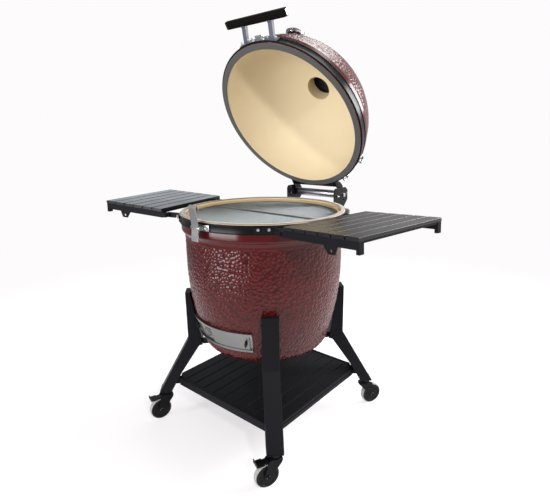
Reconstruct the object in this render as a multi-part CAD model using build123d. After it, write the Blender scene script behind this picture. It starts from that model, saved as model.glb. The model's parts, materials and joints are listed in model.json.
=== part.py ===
"""Kamado ceramic grill on a four-legged cart with swivel casters and folding side shelves.

Units are millimetres, +Z is up and the front of the grill faces -Y. The origin is on the
floor, under the vertical axis of the ceramic bowl. The lid is stored open.
"""
import os
from math import atan2, cos, degrees, radians, sin, sqrt

from build123d import *

# ---- driving dimensions -------------------------------------------------------------
BAND_R = 320.0             # outer radius of the steel bands
RIM_Z = 882.0              # top edge of the bowl's steel band
BAND_H = 30.0              # height of each steel band
BAND_T = 3.0               # thickness of each steel band
BAND_LIP = 2.0             # rolled edge of a band, standing out from it
WALL = 25.0                # ceramic wall thickness
RIM_WALL = 16.7            # thickness of the bowl's wall at its rim
CERAMIC_R = BAND_R - BAND_T - BAND_LIP - 0.3   # outer radius of the ceramic rims
GASKET_T = 4.0             # thickness of each felt gasket
LID_GAP = 10.0             # closed gap between the two bands
BASE_Z = 345.0             # underside of the bowl
BARREL_R = 303.0           # widest radius of the textured barrel
BARREL_Z = 690.0           # height where the barrel starts to curve in
BARREL_ARC = 950.0         # radius of the barrel's long curve
BASE_FILLET = 55.0         # round between barrel and base

LID_OPEN = 56.6            # opening angle of the stored lid
HINGE_Y = 375.0            # hinge axis, behind the bowl
HINGE_Z = 906.0            # hinge axis, above the floor
DOME_R = 312.0             # outer dome, horizontal half axis
DOME_H = 262.0             # outer dome, vertical half axis
CHIMNEY_R = 51.0           # bore of the chimney

LEG_W = 61.0               # width of a leg
LEG_TOP_Z = 563.0          # flat top of a leg
LEG_BEND_Z = 363.0         # height of the bend in a leg
LEG_FOOT_Z = 129.0         # underside of a leg
LEG_OUT_R = 319.0          # outer face of a leg, from the axis
LEG_FOOT_R = 450.0         # outer edge of a leg's foot, from the axis

TRAY_HALF = 277.0          # half the width of the lower shelf
TRAY_Z = 156.0             # underside of the lower shelf
TRAY_SLATS = 10            # slats in the lower shelf

SHELF_W = 300.0            # side shelf, from its inner to its outer edge
SHELF_L = 392.0            # side shelf, along its slats
SHELF_SLATS = 6            # slats in a side shelf
SHELF_INNER = 340.0        # inner edge of a side shelf, from the axis
SHELF_TOP = 892.0          # top of a side shelf at its inner edge
SHELF_TILT = 3.2           # rise of a side shelf towards its outer edge
SHELF_ANGLES = {"right": 9.5, "left": 12.5}    # each shelf stands this far forward of square

WHEEL_R = 45.0             # caster wheel
WHEEL_W = 24.0
CASTER_R = 428.0           # swivel axis of a caster, from the bowl's axis
CASTER_TRAIL = 33.0        # wheel axis behind the swivel axis
CASTER_TURN = {            # direction in which each caster trails, from +X
    "front_right": 246.0,
    "front_left": 253.0,
    "back_right": 62.0,
    "back_left": 118.0,
}

RUN = 0.05                 # radial running clearance of pins and shafts
GAP = 0.4                  # clearance between faces that move past each other

PARTS = {}


def add(name, *shapes):
    """Keep the solids of one named sub-part."""
    solids = [s for shape in shapes for s in shape.solids()]
    PARTS[name] = Compound(children=solids) if len(solids) > 1 else solids[0]
    return PARTS[name]


# ---- shape helpers ------------------------------------------------------------------
def block(x0, x1, y0, y1, z0, z1):
    """Box between two corners."""
    box = Box(x1 - x0, y1 - y0, z1 - z0)
    return Pos((x0 + x1) / 2, (y0 + y1) / 2, (z0 + z1) / 2) * box


def tube(outer, inner, z0, z1):
    """Upright ring between two heights."""
    ring = Cylinder(outer, z1 - z0) - Cylinder(inner, z1 - z0 + 2)
    return Pos(0, 0, (z0 + z1) / 2) * ring


def rod(radius, start, end):
    """Round bar from one point to another."""
    a, b = Vector(*start), Vector(*end)
    plane = Plane(origin=a, z_dir=b - a)
    return plane * Pos(0, 0, (b - a).length / 2) * Cylinder(radius, (b - a).length)


def turned(*edges):
    """Solid of revolution about Z of a closed outline drawn in the XZ plane."""
    return revolve(Plane.XZ * make_face(list(edges)), Axis.Z, 360)


def outline(points, plane, depth):
    """Straight-sided plate: a closed outline pushed both ways out of its plane."""
    face = make_face(Polyline(*points, close=True))
    return extrude(plane * face, depth / 2, both=True)


def around(shape, angle):
    """Turn a shape about the bowl's axis."""
    return Rot(0, 0, angle) * shape


def bolt(radius, head, length):
    """Acorn-headed bolt along +Z: its washer sits on Z = 0 and its shank runs below."""
    shank = Pos(0, 0, -length / 2) * Cylinder(radius, length)
    washer = Pos(0, 0, 0.6) * Cylinder(head * 1.25, 1.2)
    prism = extrude(RegularPolygon(head, 6), head)
    crown = Pos(0, 0, head) * Sphere(head * 0.8)
    return shank + washer + Pos(0, 0, 1.2) * (prism + crown)


def facing(shape, origin, direction):
    """Place a shape whose own axis is +Z so that it points along a direction."""
    return Plane(origin=origin, z_dir=direction) * shape


# ---- ceramic bowl and what stands in it ----------------------------------------------
def barrel_radius(z, offset=0.0):
    """Radius of the barrel's outside, or of a surface offset from it, at a height."""
    if z >= BARREL_Z:
        return BARREL_R + offset
    arc = BARREL_ARC + offset
    return BARREL_R - BARREL_ARC + sqrt(arc * arc - (BARREL_Z - z) ** 2)


def barrel_edge(z0, z1, offset=0.0):
    """Piece of the barrel's long curve between two heights."""
    middle = (z0 + z1) / 2
    ends = [(barrel_radius(z, offset), z) for z in (z0, middle, z1)]
    return ThreePointArc(*ends)


DOOR_Z0, DOOR_Z1 = 410.0, 488.0       # lower and upper edge of the draft frame
DOOR_HALF = 32.0                      # half angle of the draft frame
DRAFT_FROM, DRAFT_TO = -28.0, -3.0    # draft opening, from straight ahead
LEDGE_Z = RIM_Z - 34                  # where the bowl's inside steps in below its rim
RING_GAP = 1.5                        # all round the fire ring


def shell_patch(offset0, offset1, z0, z1, angle0, angle1):
    """Piece of a skin that follows the barrel, between two angles from straight ahead."""
    a = barrel_edge(z0, z1, offset0)
    b = barrel_edge(z0, z1, offset1)
    face = make_face([a, Line(a @ 1, b @ 1), b, Line(b @ 0, a @ 0)])
    return around(revolve(Plane.XZ * face, Axis.Z, angle1 - angle0), -90 + angle0)


def make_bowl():
    """Glazed bowl: banded rim, smooth lip, undercut and long barrel."""
    top = RIM_Z + 2
    lip_z, step_z = RIM_Z - BAND_H - 33, RIM_Z - BAND_H - 48
    foot_z = BASE_Z + BASE_FILLET
    foot_r = barrel_radius(foot_z)
    base_r = foot_r - BASE_FILLET * 1.05
    inner = CERAMIC_R - RIM_WALL
    floor_z = BASE_Z + 32
    long_curve = barrel_edge(foot_z, BARREL_Z)
    outside = [
        Line((0, BASE_Z), (base_r, BASE_Z)),
        TangentArc((base_r, BASE_Z), (foot_r, foot_z), tangent=(1, 0)),
        long_curve,
        Line((BARREL_R, BARREL_Z), (BARREL_R, step_z)),
        ThreePointArc((BARREL_R, step_z), (BARREL_R + 1.6, step_z + 7), (CERAMIC_R - 6, lip_z)),
        ThreePointArc((CERAMIC_R - 6, lip_z), (CERAMIC_R - 1.2, lip_z + 4.5), (CERAMIC_R, lip_z + 11)),
        Line((CERAMIC_R, lip_z + 11), (CERAMIC_R, top - 2)),
        ThreePointArc((CERAMIC_R, top - 2), (CERAMIC_R - 0.6, top - 0.6), (CERAMIC_R - 2, top)),
        Line((CERAMIC_R - 2, top), (inner + 3, top)),
        ThreePointArc((inner + 3, top), (inner + 0.9, top - 0.9), (inner, top - 3)),
    ]
    low_r, bend_z = 190.0, BARREL_Z - 20
    inside = [
        Line((inner, top - 3), (inner, LEDGE_Z)),
        Line((inner, LEDGE_Z), (BARREL_R - WALL, LEDGE_Z - 30)),
        Line((BARREL_R - WALL, LEDGE_Z - 30), (BARREL_R - WALL, bend_z)),
        ThreePointArc((BARREL_R - WALL, bend_z), (barrel_radius(540) - WALL, 540),
                      (barrel_radius(430) - WALL - 3, 430)),
        ThreePointArc((barrel_radius(430) - WALL - 3, 430), (225, 393), (low_r, floor_z)),
        Line((low_r, floor_z), (0, floor_z)),
        Line((0, floor_z), (0, BASE_Z)),
    ]
    bowl = turned(*outside, *inside)
    draft = shell_patch(-WALL - 20, 20, DOOR_Z0 + 14, DOOR_Z1 - 12, DRAFT_FROM, DRAFT_TO)
    return bowl - draft


def make_band(z0):
    """Steel band with a rolled bead along both edges."""
    r = BAND_R - BAND_LIP
    band = tube(r, r - BAND_T, z0, z0 + BAND_H)
    for z in (z0 + 1.8, z0 + BAND_H - 1.8):
        band += tube(BAND_R, r - BAND_T / 2, z - 1.8, z + 1.8)
    return band


def make_fire_box():
    """Cup of fire clay that holds the charcoal: it has a draft notch and a hole in its floor."""
    z0, z1, r = BASE_Z + 33, 690.0, 271.0
    outside = Pos(0, 0, (z0 + z1) / 2) * Cone(188, r, z1 - z0)
    hollow = Pos(0, 0, (z0 + 28 + z1 + 1) / 2) * Cone(168, r - 20, z1 - z0 - 27)
    cup = outside - hollow - Pos(0, 0, z0) * Cylinder(95, 80)
    return cup - block(-120, -18, -260, -120, DOOR_Z0 + 12, DOOR_Z1 - 10)


def make_fire_ring():
    """Ring of fire clay with a rounded inner shoulder that carries the cooking grates."""
    z0, z1 = 691.0, RIM_Z - 3
    outer = CERAMIC_R - RIM_WALL - RING_GAP
    low = BARREL_R - WALL - RING_GAP
    seat_z, seat_r, inner, foot = RIM_Z - 17, 285.5, 270.0, 256.0
    return turned(
        Line((foot, z0), (low, z0)),
        Line((low, z0), (low, LEDGE_Z - 30)),
        Line((low, LEDGE_Z - 30), (outer, LEDGE_Z)),
        Line((outer, LEDGE_Z), (outer, z1 - 4)),
        ThreePointArc((outer, z1 - 4), (outer - 1.2, z1 - 1.2), (outer - 4, z1)),
        Line((outer - 4, z1), (seat_r + 4, z1)),
        ThreePointArc((seat_r + 4, z1), (seat_r + 1.2, z1 - 1.2), (seat_r, z1 - 4)),
        Line((seat_r, z1 - 4), (seat_r, seat_z)),
        Line((seat_r, seat_z), (inner, seat_z)),
        Line((inner, seat_z), (foot, z0)),
    )


def make_charcoal_grate():
    """Cast plate with rows of slots."""
    z = 472.0
    plate = Pos(0, 0, z) * Cylinder(185, 8)
    for row in range(-6, 7):
        half = sqrt(160.0 ** 2 - (row * 24.0) ** 2)
        slot = Pos(0, row * 24.0, z) * Box(2 * half, 10, 20)
        plate -= slot
    for x in (-90, 0, 90):
        plate += Pos(x, 0, z) * Box(12, 300 if x == 0 else 260, 8)
    return plate


GRATE_Z = RIM_Z - 17 + 3.3
GRATE_R = 281.0
GRATE_PITCH = 12.0


def make_grate(side):
    """Half-moon cooking grate: flat rim, straight edge bar, rods and two cross bars."""
    split, wire = 3.0, 2.1
    keep = block(-300, 300, split, 300, GRATE_Z - 6, GRATE_Z + 6)
    grate = tube(GRATE_R + 3, GRATE_R - 3, GRATE_Z - 3, GRATE_Z + 3) & keep
    half = sqrt(GRATE_R ** 2 - (split + 6) ** 2)
    grate += block(-half, half, split, split + 6, GRATE_Z - 3, GRATE_Z + 3)
    for y in (90, 180):
        reach = sqrt(GRATE_R ** 2 - y * y)
        grate += block(-reach, reach, y - 2.5, y + 2.5, GRATE_Z - 2.8, GRATE_Z - 0.8)
    count = int(GRATE_R // GRATE_PITCH)
    for i in range(-count + 1, count):
        x = i * GRATE_PITCH
        reach = sqrt(GRATE_R ** 2 - x * x)
        grate += rod(wire, (x, split + 3, GRATE_Z + 0.6), (x, reach, GRATE_Z + 0.6))
    return around(grate, 0 if side == "back" else 180)


# ---- draft doors ---------------------------------------------------------------------
SOLID_DOOR = (-2.0, 30.0)      # angles at rest
SLOTTED_DOOR = (-30.0, -0.8)
DRAFT_LAYER = 1.2              # thickness of each sliding sheet


def make_draft_frame():
    """Curved stainless frame with a rail along its top and bottom edge."""
    z0, z1 = DOOR_Z0, DOOR_Z1
    back = shell_patch(0.3, 1.5, z0, z1, -DOOR_HALF, DOOR_HALF)
    back -= shell_patch(-2, 4, z0 + 12, z1 - 12, -DOOR_HALF + 3, DOOR_HALF - 3)
    rails = [
        shell_patch(1.5, 8.0, z0, z0 + 4, -DOOR_HALF, DOOR_HALF),
        shell_patch(1.5, 8.0, z1 - 4, z1, -DOOR_HALF, DOOR_HALF),
        shell_patch(6.8, 8.0, z0, z0 + 9, -DOOR_HALF, DOOR_HALF),
        shell_patch(6.8, 8.0, z1 - 9, z1, -DOOR_HALF, DOOR_HALF),
    ]
    for rail in rails:
        back += rail
    return back


def barrel_plane(angle, z, offset):
    """Plane on a surface offset from the barrel, facing out, at an angle from straight ahead."""
    a = radians(angle - 90)
    fall = (BARREL_Z - z) / (BARREL_ARC + offset)
    level = sqrt(1 - fall * fall)
    r = barrel_radius(z, offset)
    out = (level * cos(a), level * sin(a), -fall)
    return Plane(origin=(r * cos(a), r * sin(a), z), x_dir=(-sin(a), cos(a), 0), z_dir=out)


def make_draft_screws():
    """Four corner screws through the draft frame's back sheet."""
    screws = []
    for angle in (-DOOR_HALF + 0.9, DOOR_HALF - 0.9):
        for z in (DOOR_Z0 + 12.5, DOOR_Z1 - 12.5):
            screw = Pos(0, 0, 1.0) * Cylinder(3.2, 1.8) + Pos(0, 0, 2.2) * Cylinder(2.4, 1.0)
            screws.append(barrel_plane(angle, z, 1.6) * screw)
    return screws


def make_solid_door():
    """Plain sliding door on the outer track."""
    a0, a1 = SOLID_DOOR
    return shell_patch(4.6, 4.6 + DRAFT_LAYER, DOOR_Z0 + 5, DOOR_Z1 - 5, a0, a1)


def make_slotted_door():
    """Sliding screen on the inner track, with two columns of slots."""
    a0, a1 = SLOTTED_DOOR
    door = shell_patch(2.2, 2.2 + DRAFT_LAYER, DOOR_Z0 + 5, DOOR_Z1 - 5, a0, a1)
    for column in ((a0 + 4.5, a0 + 14.0), (a0 + 16.5, a0 + 26.0)):
        for row in range(6):
            z = DOOR_Z0 + 16 + row * 8.6
            door -= shell_patch(0, 6, z, z + 4.2, *column)
    return door


def make_draft_knob(angle, offset):
    """Oval knob with a flat foot on its door."""
    knob = extrude(Ellipse(4.6, 13), 12, taper=6)
    return barrel_plane(angle, (DOOR_Z0 + DOOR_Z1) / 2, offset + 0.3) * knob


# ---- lid -----------------------------------------------------------------------------
LID_Z = RIM_Z + LID_GAP          # lower edge of the lid's ceramic when closed
HINGE_AXIS = Axis((0, HINGE_Y, HINGE_Z), (1, 0, 0))


def lift(shape):
    """Turn a piece of the closed lid to where the lid is stored."""
    return shape.rotate(HINGE_AXIS, -LID_OPEN)


def dome_point(angle, extra=0.0):
    """Point on the outer dome in the XZ plane, at an angle above its equator."""
    a = radians(angle)
    return ((DOME_R + extra) * cos(a), LID_Z + 22 + (DOME_H + extra) * sin(a))


def make_dome():
    """Glazed lid: banded rim, smooth lip, dome and chimney collar."""
    inner_r, inner_h = CERAMIC_R - WALL, 250.0
    collar_r, collar_z = CHIMNEY_R + 17, LID_Z + 22 + DOME_H + 14
    start, end = 9.0, 77.2
    top_in = LID_Z + inner_h * sqrt(1 - (CHIMNEY_R / inner_r) ** 2)
    outer_arc = EllipticalCenterArc((0, LID_Z + 22), DOME_R, DOME_H, start, arc_size=end - start)
    s, e = outer_arc @ 0, outer_arc @ 1
    inner_end = degrees(atan2((top_in - LID_Z) / inner_h, CHIMNEY_R / inner_r))
    inner_arc = EllipticalCenterArc((0, LID_Z), inner_r, inner_h, 0, arc_size=inner_end)
    i0, i1 = inner_arc @ 0, inner_arc @ 1
    lip_z = LID_Z + BAND_H + 24
    return turned(
        Line((i0.X, i0.Y), (CERAMIC_R, LID_Z)),
        Line((CERAMIC_R, LID_Z), (CERAMIC_R, lip_z - 5)),
        ThreePointArc((CERAMIC_R, lip_z - 5), (CERAMIC_R - 1.4, lip_z - 1.2), (CERAMIC_R - 4, lip_z)),
        Line((CERAMIC_R - 4, lip_z), (s.X, s.Y)),
        outer_arc,
        Line((e.X, e.Y), (collar_r, e.Y + 5)),
        Line((collar_r, e.Y + 5), (collar_r, collar_z - 4)),
        ThreePointArc((collar_r, collar_z - 4), (collar_r - 1.2, collar_z - 1.2), (collar_r - 4, collar_z)),
        Line((collar_r - 4, collar_z), (CHIMNEY_R, collar_z)),
        Line((CHIMNEY_R, collar_z), (i1.X, i1.Y)),
        inner_arc,
    )


def band_clamp(z, angle):
    """Two lugs on a band and the screw that draws them together, at an angle from +X."""
    lug = fillet(block(BAND_R - 2, BAND_R + 15, -2, 2, z - 10, z + 10).edges().filter_by(Axis.Y), 3)
    screw = Pos(0, 0, -19) * Cylinder(2.6, 38)
    screw += extrude(RegularPolygon(5, 6), 4) + Pos(0, 0, -34) * extrude(RegularPolygon(5, 6), -4)
    across = facing(screw, (BAND_R + 8, -17, z), (0, -1, 0))
    clamp = across + Pos(0, -11, 0) * lug + Pos(0, 11, 0) * lug
    clamp -= Pos(0, 0, z) * Cylinder(BAND_R + 0.3, 60)
    return around(clamp, angle)


BOLT_R = 2.6


def band_bolt(z, angle, stand_off):
    """Acorn bolt whose washer lies on something that covers a band, at an angle from +X."""
    a = radians(angle)
    r = BAND_R + stand_off
    return facing(bolt(BOLT_R, 4.4, stand_off - 0.4), (r * cos(a), r * sin(a), z), (cos(a), sin(a), 0))


def saddle_bolt(x, z):
    """Acorn bolt through the flat back of a hinge saddle."""
    return facing(bolt(BOLT_R, 4.4, 9), (x, SADDLE_Y + 0.1, z), (0, 1, 0))


def saddle_drilled(shape, z):
    """Bore the clearance holes of the saddle bolts."""
    for x in SADDLE_BOLTS:
        shape -= rod(BOLT_R + 0.1, (x, SADDLE_Y - 20, z), (x, SADDLE_Y + 5, z))
    return shape


def drilled(shape, z, angles):
    """Bore radial clearance holes for band bolts through a shape."""
    for angle in angles:
        a = radians(angle)
        ends = [(r * cos(a), r * sin(a), z) for r in (BAND_R - 5, BAND_R + 20)]
        shape -= rod(BOLT_R + 0.1, *ends)
    return shape


def sector(r0, r1, z0, z1, a0, a1):
    """Piece of an upright ring between two angles from +X."""
    face = Pos((r0 + r1) / 2, (z0 + z1) / 2) * Rectangle(r1 - r0, z1 - z0)
    return around(revolve(Plane.XZ * face, Axis.Z, a1 - a0), a0)


def make_lid_fasteners():
    """Clamps of the lid's band and the acorn bolts of the handle, strike and hinge."""
    z = LID_Z + BAND_H / 2
    pieces = [band_clamp(z, angle) for angle in LID_CLAMPS]
    for x in HANDLE_POSTS:
        angle = degrees(atan2(-sqrt(BAND_R ** 2 - x * x), x))
        pieces += [band_bolt(z, angle + turn, POST_FOOT) for turn in POST_BOLTS]
    pieces += [band_bolt(z, angle, PLATE_T) for angle in STRIKE_BOLTS]
    pieces += [saddle_bolt(x, z + 1) for x in SADDLE_BOLTS]
    return pieces


LID_CLAMPS = (34.0, 58.0)
BOWL_CLAMPS = (42.0, 138.0)
PLATE_T = 2.5                      # thickness of latch and strike plates over the bands
POST_FOOT = 3.6
POST_BOLTS = (-3.2, 3.2)           # from the post
STRIKE_BOLTS = (-94.6, -85.4)
LATCH_BOLTS = (-96.2, -83.8)
SADDLE_BOLTS = (-60.0, 60.0)       # X of the bolts through a hinge saddle
SADDLE_Y = 325.0                   # flat back of a hinge saddle
HANDLE_POSTS = (-62.0, 62.0)
HANDLE_Y = -381.0
HANDLE_Z = 931.0
HANDLE_HALF = 143.0


def make_handle_bar():
    """Wooden grip: an octagonal bar with long bevels at both ends."""
    section = chamfer(Rectangle(26, 30).vertices(), 6)
    bar = extrude(Plane.YZ * section, HANDLE_HALF - 4, both=True)
    for side in (-1, 1):
        for dz in (-1, 1):
            corner = [(150, 3), (150, 30), (118, 30), (118, 16)]
            bar -= outline([(side * x, dz * z) for x, z in corner], Plane.XZ, 60)
    for x in HANDLE_POSTS:
        bar -= Pos(x, 12, 0) * Box(20, 4.2, 32)
    return Pos(0, HANDLE_Y, HANDLE_Z) * bar


def make_handle_caps():
    """Metal end plates of the grip."""
    caps = []
    for side in (-1, 1):
        cap = Box(3.6, 18, 8)
        cap = fillet(cap.edges().filter_by(Axis.X), 2)
        caps.append(Pos(side * (HANDLE_HALF - 2.2), HANDLE_Y, HANDLE_Z) * cap)
    return caps


def make_handle_posts():
    """Two bent steel posts: each has a foot on the band and a tongue let into the grip."""
    posts = []
    for x in HANDLE_POSTS:
        y = -sqrt(BAND_R ** 2 - x * x)
        z = LID_Z + BAND_H / 2
        back = HANDLE_Y + 17
        side_view = [(y + 6, z - 4), (y + 6, z + 6), (back, HANDLE_Z + 9), (back, HANDLE_Z - 5)]
        arm = outline(side_view, Plane.YZ, 18)
        tongue = block(-9, 9, HANDLE_Y + 10.2, HANDLE_Y + 17.5, HANDLE_Z - 7, HANDLE_Z + 9)
        post = Pos(x, 0, 0) * (arm + tongue)
        angle = degrees(atan2(y, x))
        post += sector(BAND_R + 0.2, BAND_R + POST_FOOT, z - 11, z + 11, angle - 4.6, angle + 4.6)
        post -= Pos(0, 0, z) * Cylinder(BAND_R + 0.2, 60)
        posts.append(drilled(post, z, [angle + turn for turn in POST_BOLTS]))
    return posts


THERMO_ANGLE = 43.0        # up the dome from its equator
THERMO_R = 37.0
THERMO_STAND = 16.0


def thermometer_plane():
    """Plane on the dome's front, facing out along the thermometer's stem."""
    a = radians(THERMO_ANGLE)
    r, z = dome_point(THERMO_ANGLE)
    out = Vector(0, -cos(a) / DOME_R, sin(a) / DOME_H).normalized()
    return Plane(origin=(0, -r, z), x_dir=(1, 0, 0), z_dir=out)


def make_thermometer_case():
    """Round case with a stem that passes through the lid."""
    case = Pos(0, 0, THERMO_STAND + 8) * Cylinder(THERMO_R, 16)
    case -= Pos(0, 0, THERMO_STAND + 15) * Cylinder(THERMO_R - 3, 8)
    case = fillet(case.edges().filter_by(GeomType.CIRCLE).sort_by(Axis.Z)[-2:], 0.8)
    case += Pos(0, 0, THERMO_STAND / 2 + 0.2) * Cylinder(11, THERMO_STAND - 0.2)
    case += Pos(0, 0, -18) * Cylinder(3.5, 50)
    return thermometer_plane() * case


def make_thermometer_glass():
    """Flat window of the thermometer."""
    return thermometer_plane() * Pos(0, 0, THERMO_STAND + 13.6) * Cylinder(THERMO_R - 3.1, 2)


def make_latch_strike():
    """Plate on the lid's band with a lip that the latch hooks over."""
    z = LID_Z + BAND_H / 2
    plate = sector(BAND_R + 0.3, BAND_R + PLATE_T, z - 10, z + 10, -96.2, -83.8)
    plate = drilled(plate, z, STRIKE_BOLTS)
    lip = block(-17, 17, -332, -318, z + 6.5, z + 9.5)
    return plate + (lip - Pos(0, 0, z) * Cylinder(BAND_R + 0.3, 60))


COLLAR_Z = LID_Z + 22 + DOME_H + 14
VENT_HOLES = 5


def make_vent_base():
    """Cast collar on the chimney: it carries the turning cap."""
    base = tube(CHIMNEY_R + 21, CHIMNEY_R + 17.3, COLLAR_Z - 12, COLLAR_Z + 0.2)
    base += tube(CHIMNEY_R + 21, CHIMNEY_R - 3, COLLAR_Z + 0.2, COLLAR_Z + 5)
    base += tube(CHIMNEY_R + 9, CHIMNEY_R - 3, COLLAR_Z + 5, COLLAR_Z + 22)
    deck = Pos(0, 0, COLLAR_Z + 20) * Cylinder(CHIMNEY_R + 9, 4)
    for i in range(VENT_HOLES):
        deck -= Rot(0, 0, i * 360 / VENT_HOLES) * Pos(32, 0, COLLAR_Z + 20) * Cylinder(11, 6)
    return base + deck


def make_vent_cap():
    """Turning cap with holes that line up with those of the collar, and a thumb tab."""
    z = COLLAR_Z + 22.4
    cap = Pos(0, 0, z + 2.5) * Cylinder(CHIMNEY_R + 13, 5)
    cap += Pos(0, 0, z + 5 + 4) * Cone(CHIMNEY_R + 10, 26, 8)
    for i in range(VENT_HOLES):
        cap -= Rot(0, 0, (i + 0.5) * 360 / VENT_HOLES) * Pos(32, 0, z + 5) * Cylinder(11, 40)
    cap += Pos(0, 0, z + 16) * Cylinder(9, 8)
    cap += block(CHIMNEY_R + 8, CHIMNEY_R + 30, -8, 8, z, z + 5)
    return cap


# ---- hinge ---------------------------------------------------------------------------
CHEEK_X = 128.0
CHEEK_BOLTS = ((328.0, -2.0), (397.0, 5.0))      # Y, and height from the pin
CHEEK_T = 5.0
EAR_X = 118.0
PIN_R = 6.0


def make_hinge_lower():
    """Two cheeks on a saddle that is bolted to the back of the bowl's band."""
    z0, z1 = RIM_Z - BAND_H + 3, RIM_Z - 3
    points = [(305, z0 - 8), (305, 928), (314, 938), (392, 938), (408, 924), (408, 884), (372, z0 - 8)]
    bracket = block(-CHEEK_X, CHEEK_X, 285, SADDLE_Y, z0, z1)
    bracket -= Pos(0, 0, RIM_Z) * Cylinder(BAND_R + 0.3, 200)
    for side in (-1, 1):
        cheek = outline(points, Plane.YZ, CHEEK_T)
        cheek -= Pos(0, HINGE_Y, HINGE_Z) * Rot(0, 90, 0) * Cylinder(PIN_R, 20)
        cheek -= Pos(0, 376, 886) * Rot(0, 90, 0) * Cylinder(3.2, 20)
        for y, dz in CHEEK_BOLTS:
            cheek -= Pos(0, y, HINGE_Z + dz) * Rot(0, 90, 0) * Cylinder(3.1, 20)
        bracket += Pos(side * (CHEEK_X - CHEEK_T / 2), 0, 0) * cheek
    return saddle_drilled(bracket, RIM_Z - BAND_H / 2)


def make_hinge_upper():
    """Two ears on a saddle that is bolted to the back of the lid's band."""
    z0, z1 = LID_Z + 4, LID_Z + BAND_H - 3
    points = [(296, z0), (296, z1), (346, 934), (382, 926), (388, 900), (368, 893), (338, z0)]
    bracket = block(-EAR_X, EAR_X, 285, SADDLE_Y, z0, z1) - Pos(0, 0, RIM_Z) * Cylinder(BAND_R + 0.3, 200)
    for side in (-1, 1):
        ear = outline(points, Plane.YZ, CHEEK_T) - Pos(0, 0, RIM_Z) * Cylinder(BAND_R + 0.3, 200)
        bracket += Pos(side * (EAR_X - CHEEK_T / 2), 0, 0) * (ear & block(-9, 9, 296, 500, 800, 1000))
    bracket -= Pos(0, HINGE_Y, HINGE_Z) * Rot(0, 90, 0) * Cylinder(PIN_R + RUN, 300)
    bracket -= Pos(0, 0, RIM_Z) * Cylinder(BAND_R + 0.3, 200)
    return saddle_drilled(bracket, LID_Z + BAND_H / 2 + 1)


def make_hinge_pin():
    """Pin through both cheeks, with a hexagonal head at each end."""
    pin = rod(PIN_R, (-CHEEK_X - 2, HINGE_Y, HINGE_Z), (CHEEK_X + 2, HINGE_Y, HINGE_Z))
    for side in (-1, 1):
        head = extrude(RegularPolygon(9, 6), 5) + Pos(0, 0, 5) * Cylinder(5, 2)
        pin += facing(head, (side * CHEEK_X, HINGE_Y, HINGE_Z), (side, 0, 0))
    return pin


def make_hinge_barrel():
    """Aluminium tube round the pin, between the ears: it holds the lift springs."""
    half = EAR_X - CHEEK_T - GAP
    barrel = Rot(0, 90, 0) * (Cylinder(17, 2 * half) - Cylinder(PIN_R, 2 * half + 2))
    return Pos(0, HINGE_Y, HINGE_Z) * barrel


# ---- latch ---------------------------------------------------------------------------
LATCH_Y = -335.0
LATCH_Z = RIM_Z - 16
LATCH_REST = 8.0
LATCH_PIN = 2.5
LATCH_AXIS = Axis((0, LATCH_Y, LATCH_Z), (1, 0, 0))


def make_latch_base():
    """Plate on the bowl's band with two ears, and the pin between them."""
    plate = sector(BAND_R + 0.3, BAND_R + PLATE_T, LATCH_Z - 10, LATCH_Z + 10, -98, -82)
    plate = drilled(plate, LATCH_Z, LATCH_BOLTS)
    for side in (-1, 1):
        ear = block(side * 21 - 1.5, side * 21 + 1.5, LATCH_Y - 5, -316, LATCH_Z - 7, LATCH_Z + 7)
        plate += ear - Pos(0, 0, LATCH_Z) * Cylinder(BAND_R + 0.3, 60)
    plate -= rod(LATCH_PIN, (-40, LATCH_Y, LATCH_Z), (40, LATCH_Y, LATCH_Z))
    pin = rod(LATCH_PIN, (-24, LATCH_Y, LATCH_Z), (24, LATCH_Y, LATCH_Z))
    return plate, pin


def make_latch_hook():
    """Stainless rocker: a hook above its knuckle and a finger lever below."""
    z = LATCH_Z
    side_view = [
        (LATCH_Y - 4.6, z), (LATCH_Y - 4.6, z + 70), (LATCH_Y - 1.5, z + 78), (LATCH_Y + 5, z + 78),
        (LATCH_Y + 7.5, z + 73), (LATCH_Y + 7.5, z + 57), (LATCH_Y + 5.5, z + 57), (LATCH_Y + 5, z + 72),
        (LATCH_Y + 3.5, z + 75), (LATCH_Y - 0.5, z + 75), (LATCH_Y - 2.2, z + 69), (LATCH_Y - 2.2, z),
        (LATCH_Y - 4, z - 8), (LATCH_Y - 14, z - 44), (LATCH_Y - 16.5, z - 43), (LATCH_Y - 7, z - 6),
    ]
    hook = outline(side_view, Plane.YZ, 34)
    knuckle = rod(5.2, (-19, LATCH_Y, z), (19, LATCH_Y, z))
    hook = hook + knuckle - rod(LATCH_PIN + RUN, (-40, LATCH_Y, z), (40, LATCH_Y, z))
    return hook.rotate(LATCH_AXIS, LATCH_REST)


# ---- side shelves --------------------------------------------------------------------
SLAT_H = 11.0
RAIL_H = 24.0
PIVOT_U, PIVOT_DZ = -14.0, -24.0      # pivot, from the shelf's inner top edge
PIVOT_R = 4.0
RAIL_T = 18.0
ARM_T = 5.0


def shelf_place(shape, side, tilt=True):
    """Move a shape from the shelf's own frame (X outward, Z up from its top) to the grill."""
    if tilt:
        shape = shape.rotate(Axis((PIVOT_U, 0, PIVOT_DZ), (0, 1, 0)), -SHELF_TILT)
    turn = -SHELF_ANGLES[side] if side == "right" else 180 + SHELF_ANGLES[side]
    return Rot(0, 0, turn) * Pos(SHELF_INNER, 0, SHELF_TOP) * shape


def channel(width, length, height, wall):
    """Folded channel open below, along Y, with its top on Z = 0."""
    outer = Pos(0, 0, -height / 2) * Box(width, length, height)
    top = outer.edges().filter_by(Axis.Y).sort_by(Axis.Z)[-2:]
    outer = fillet(top, wall)
    return outer - Pos(0, 0, -height / 2 - wall) * Box(width - 2 * wall, length - 2 * wall, height)


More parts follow.
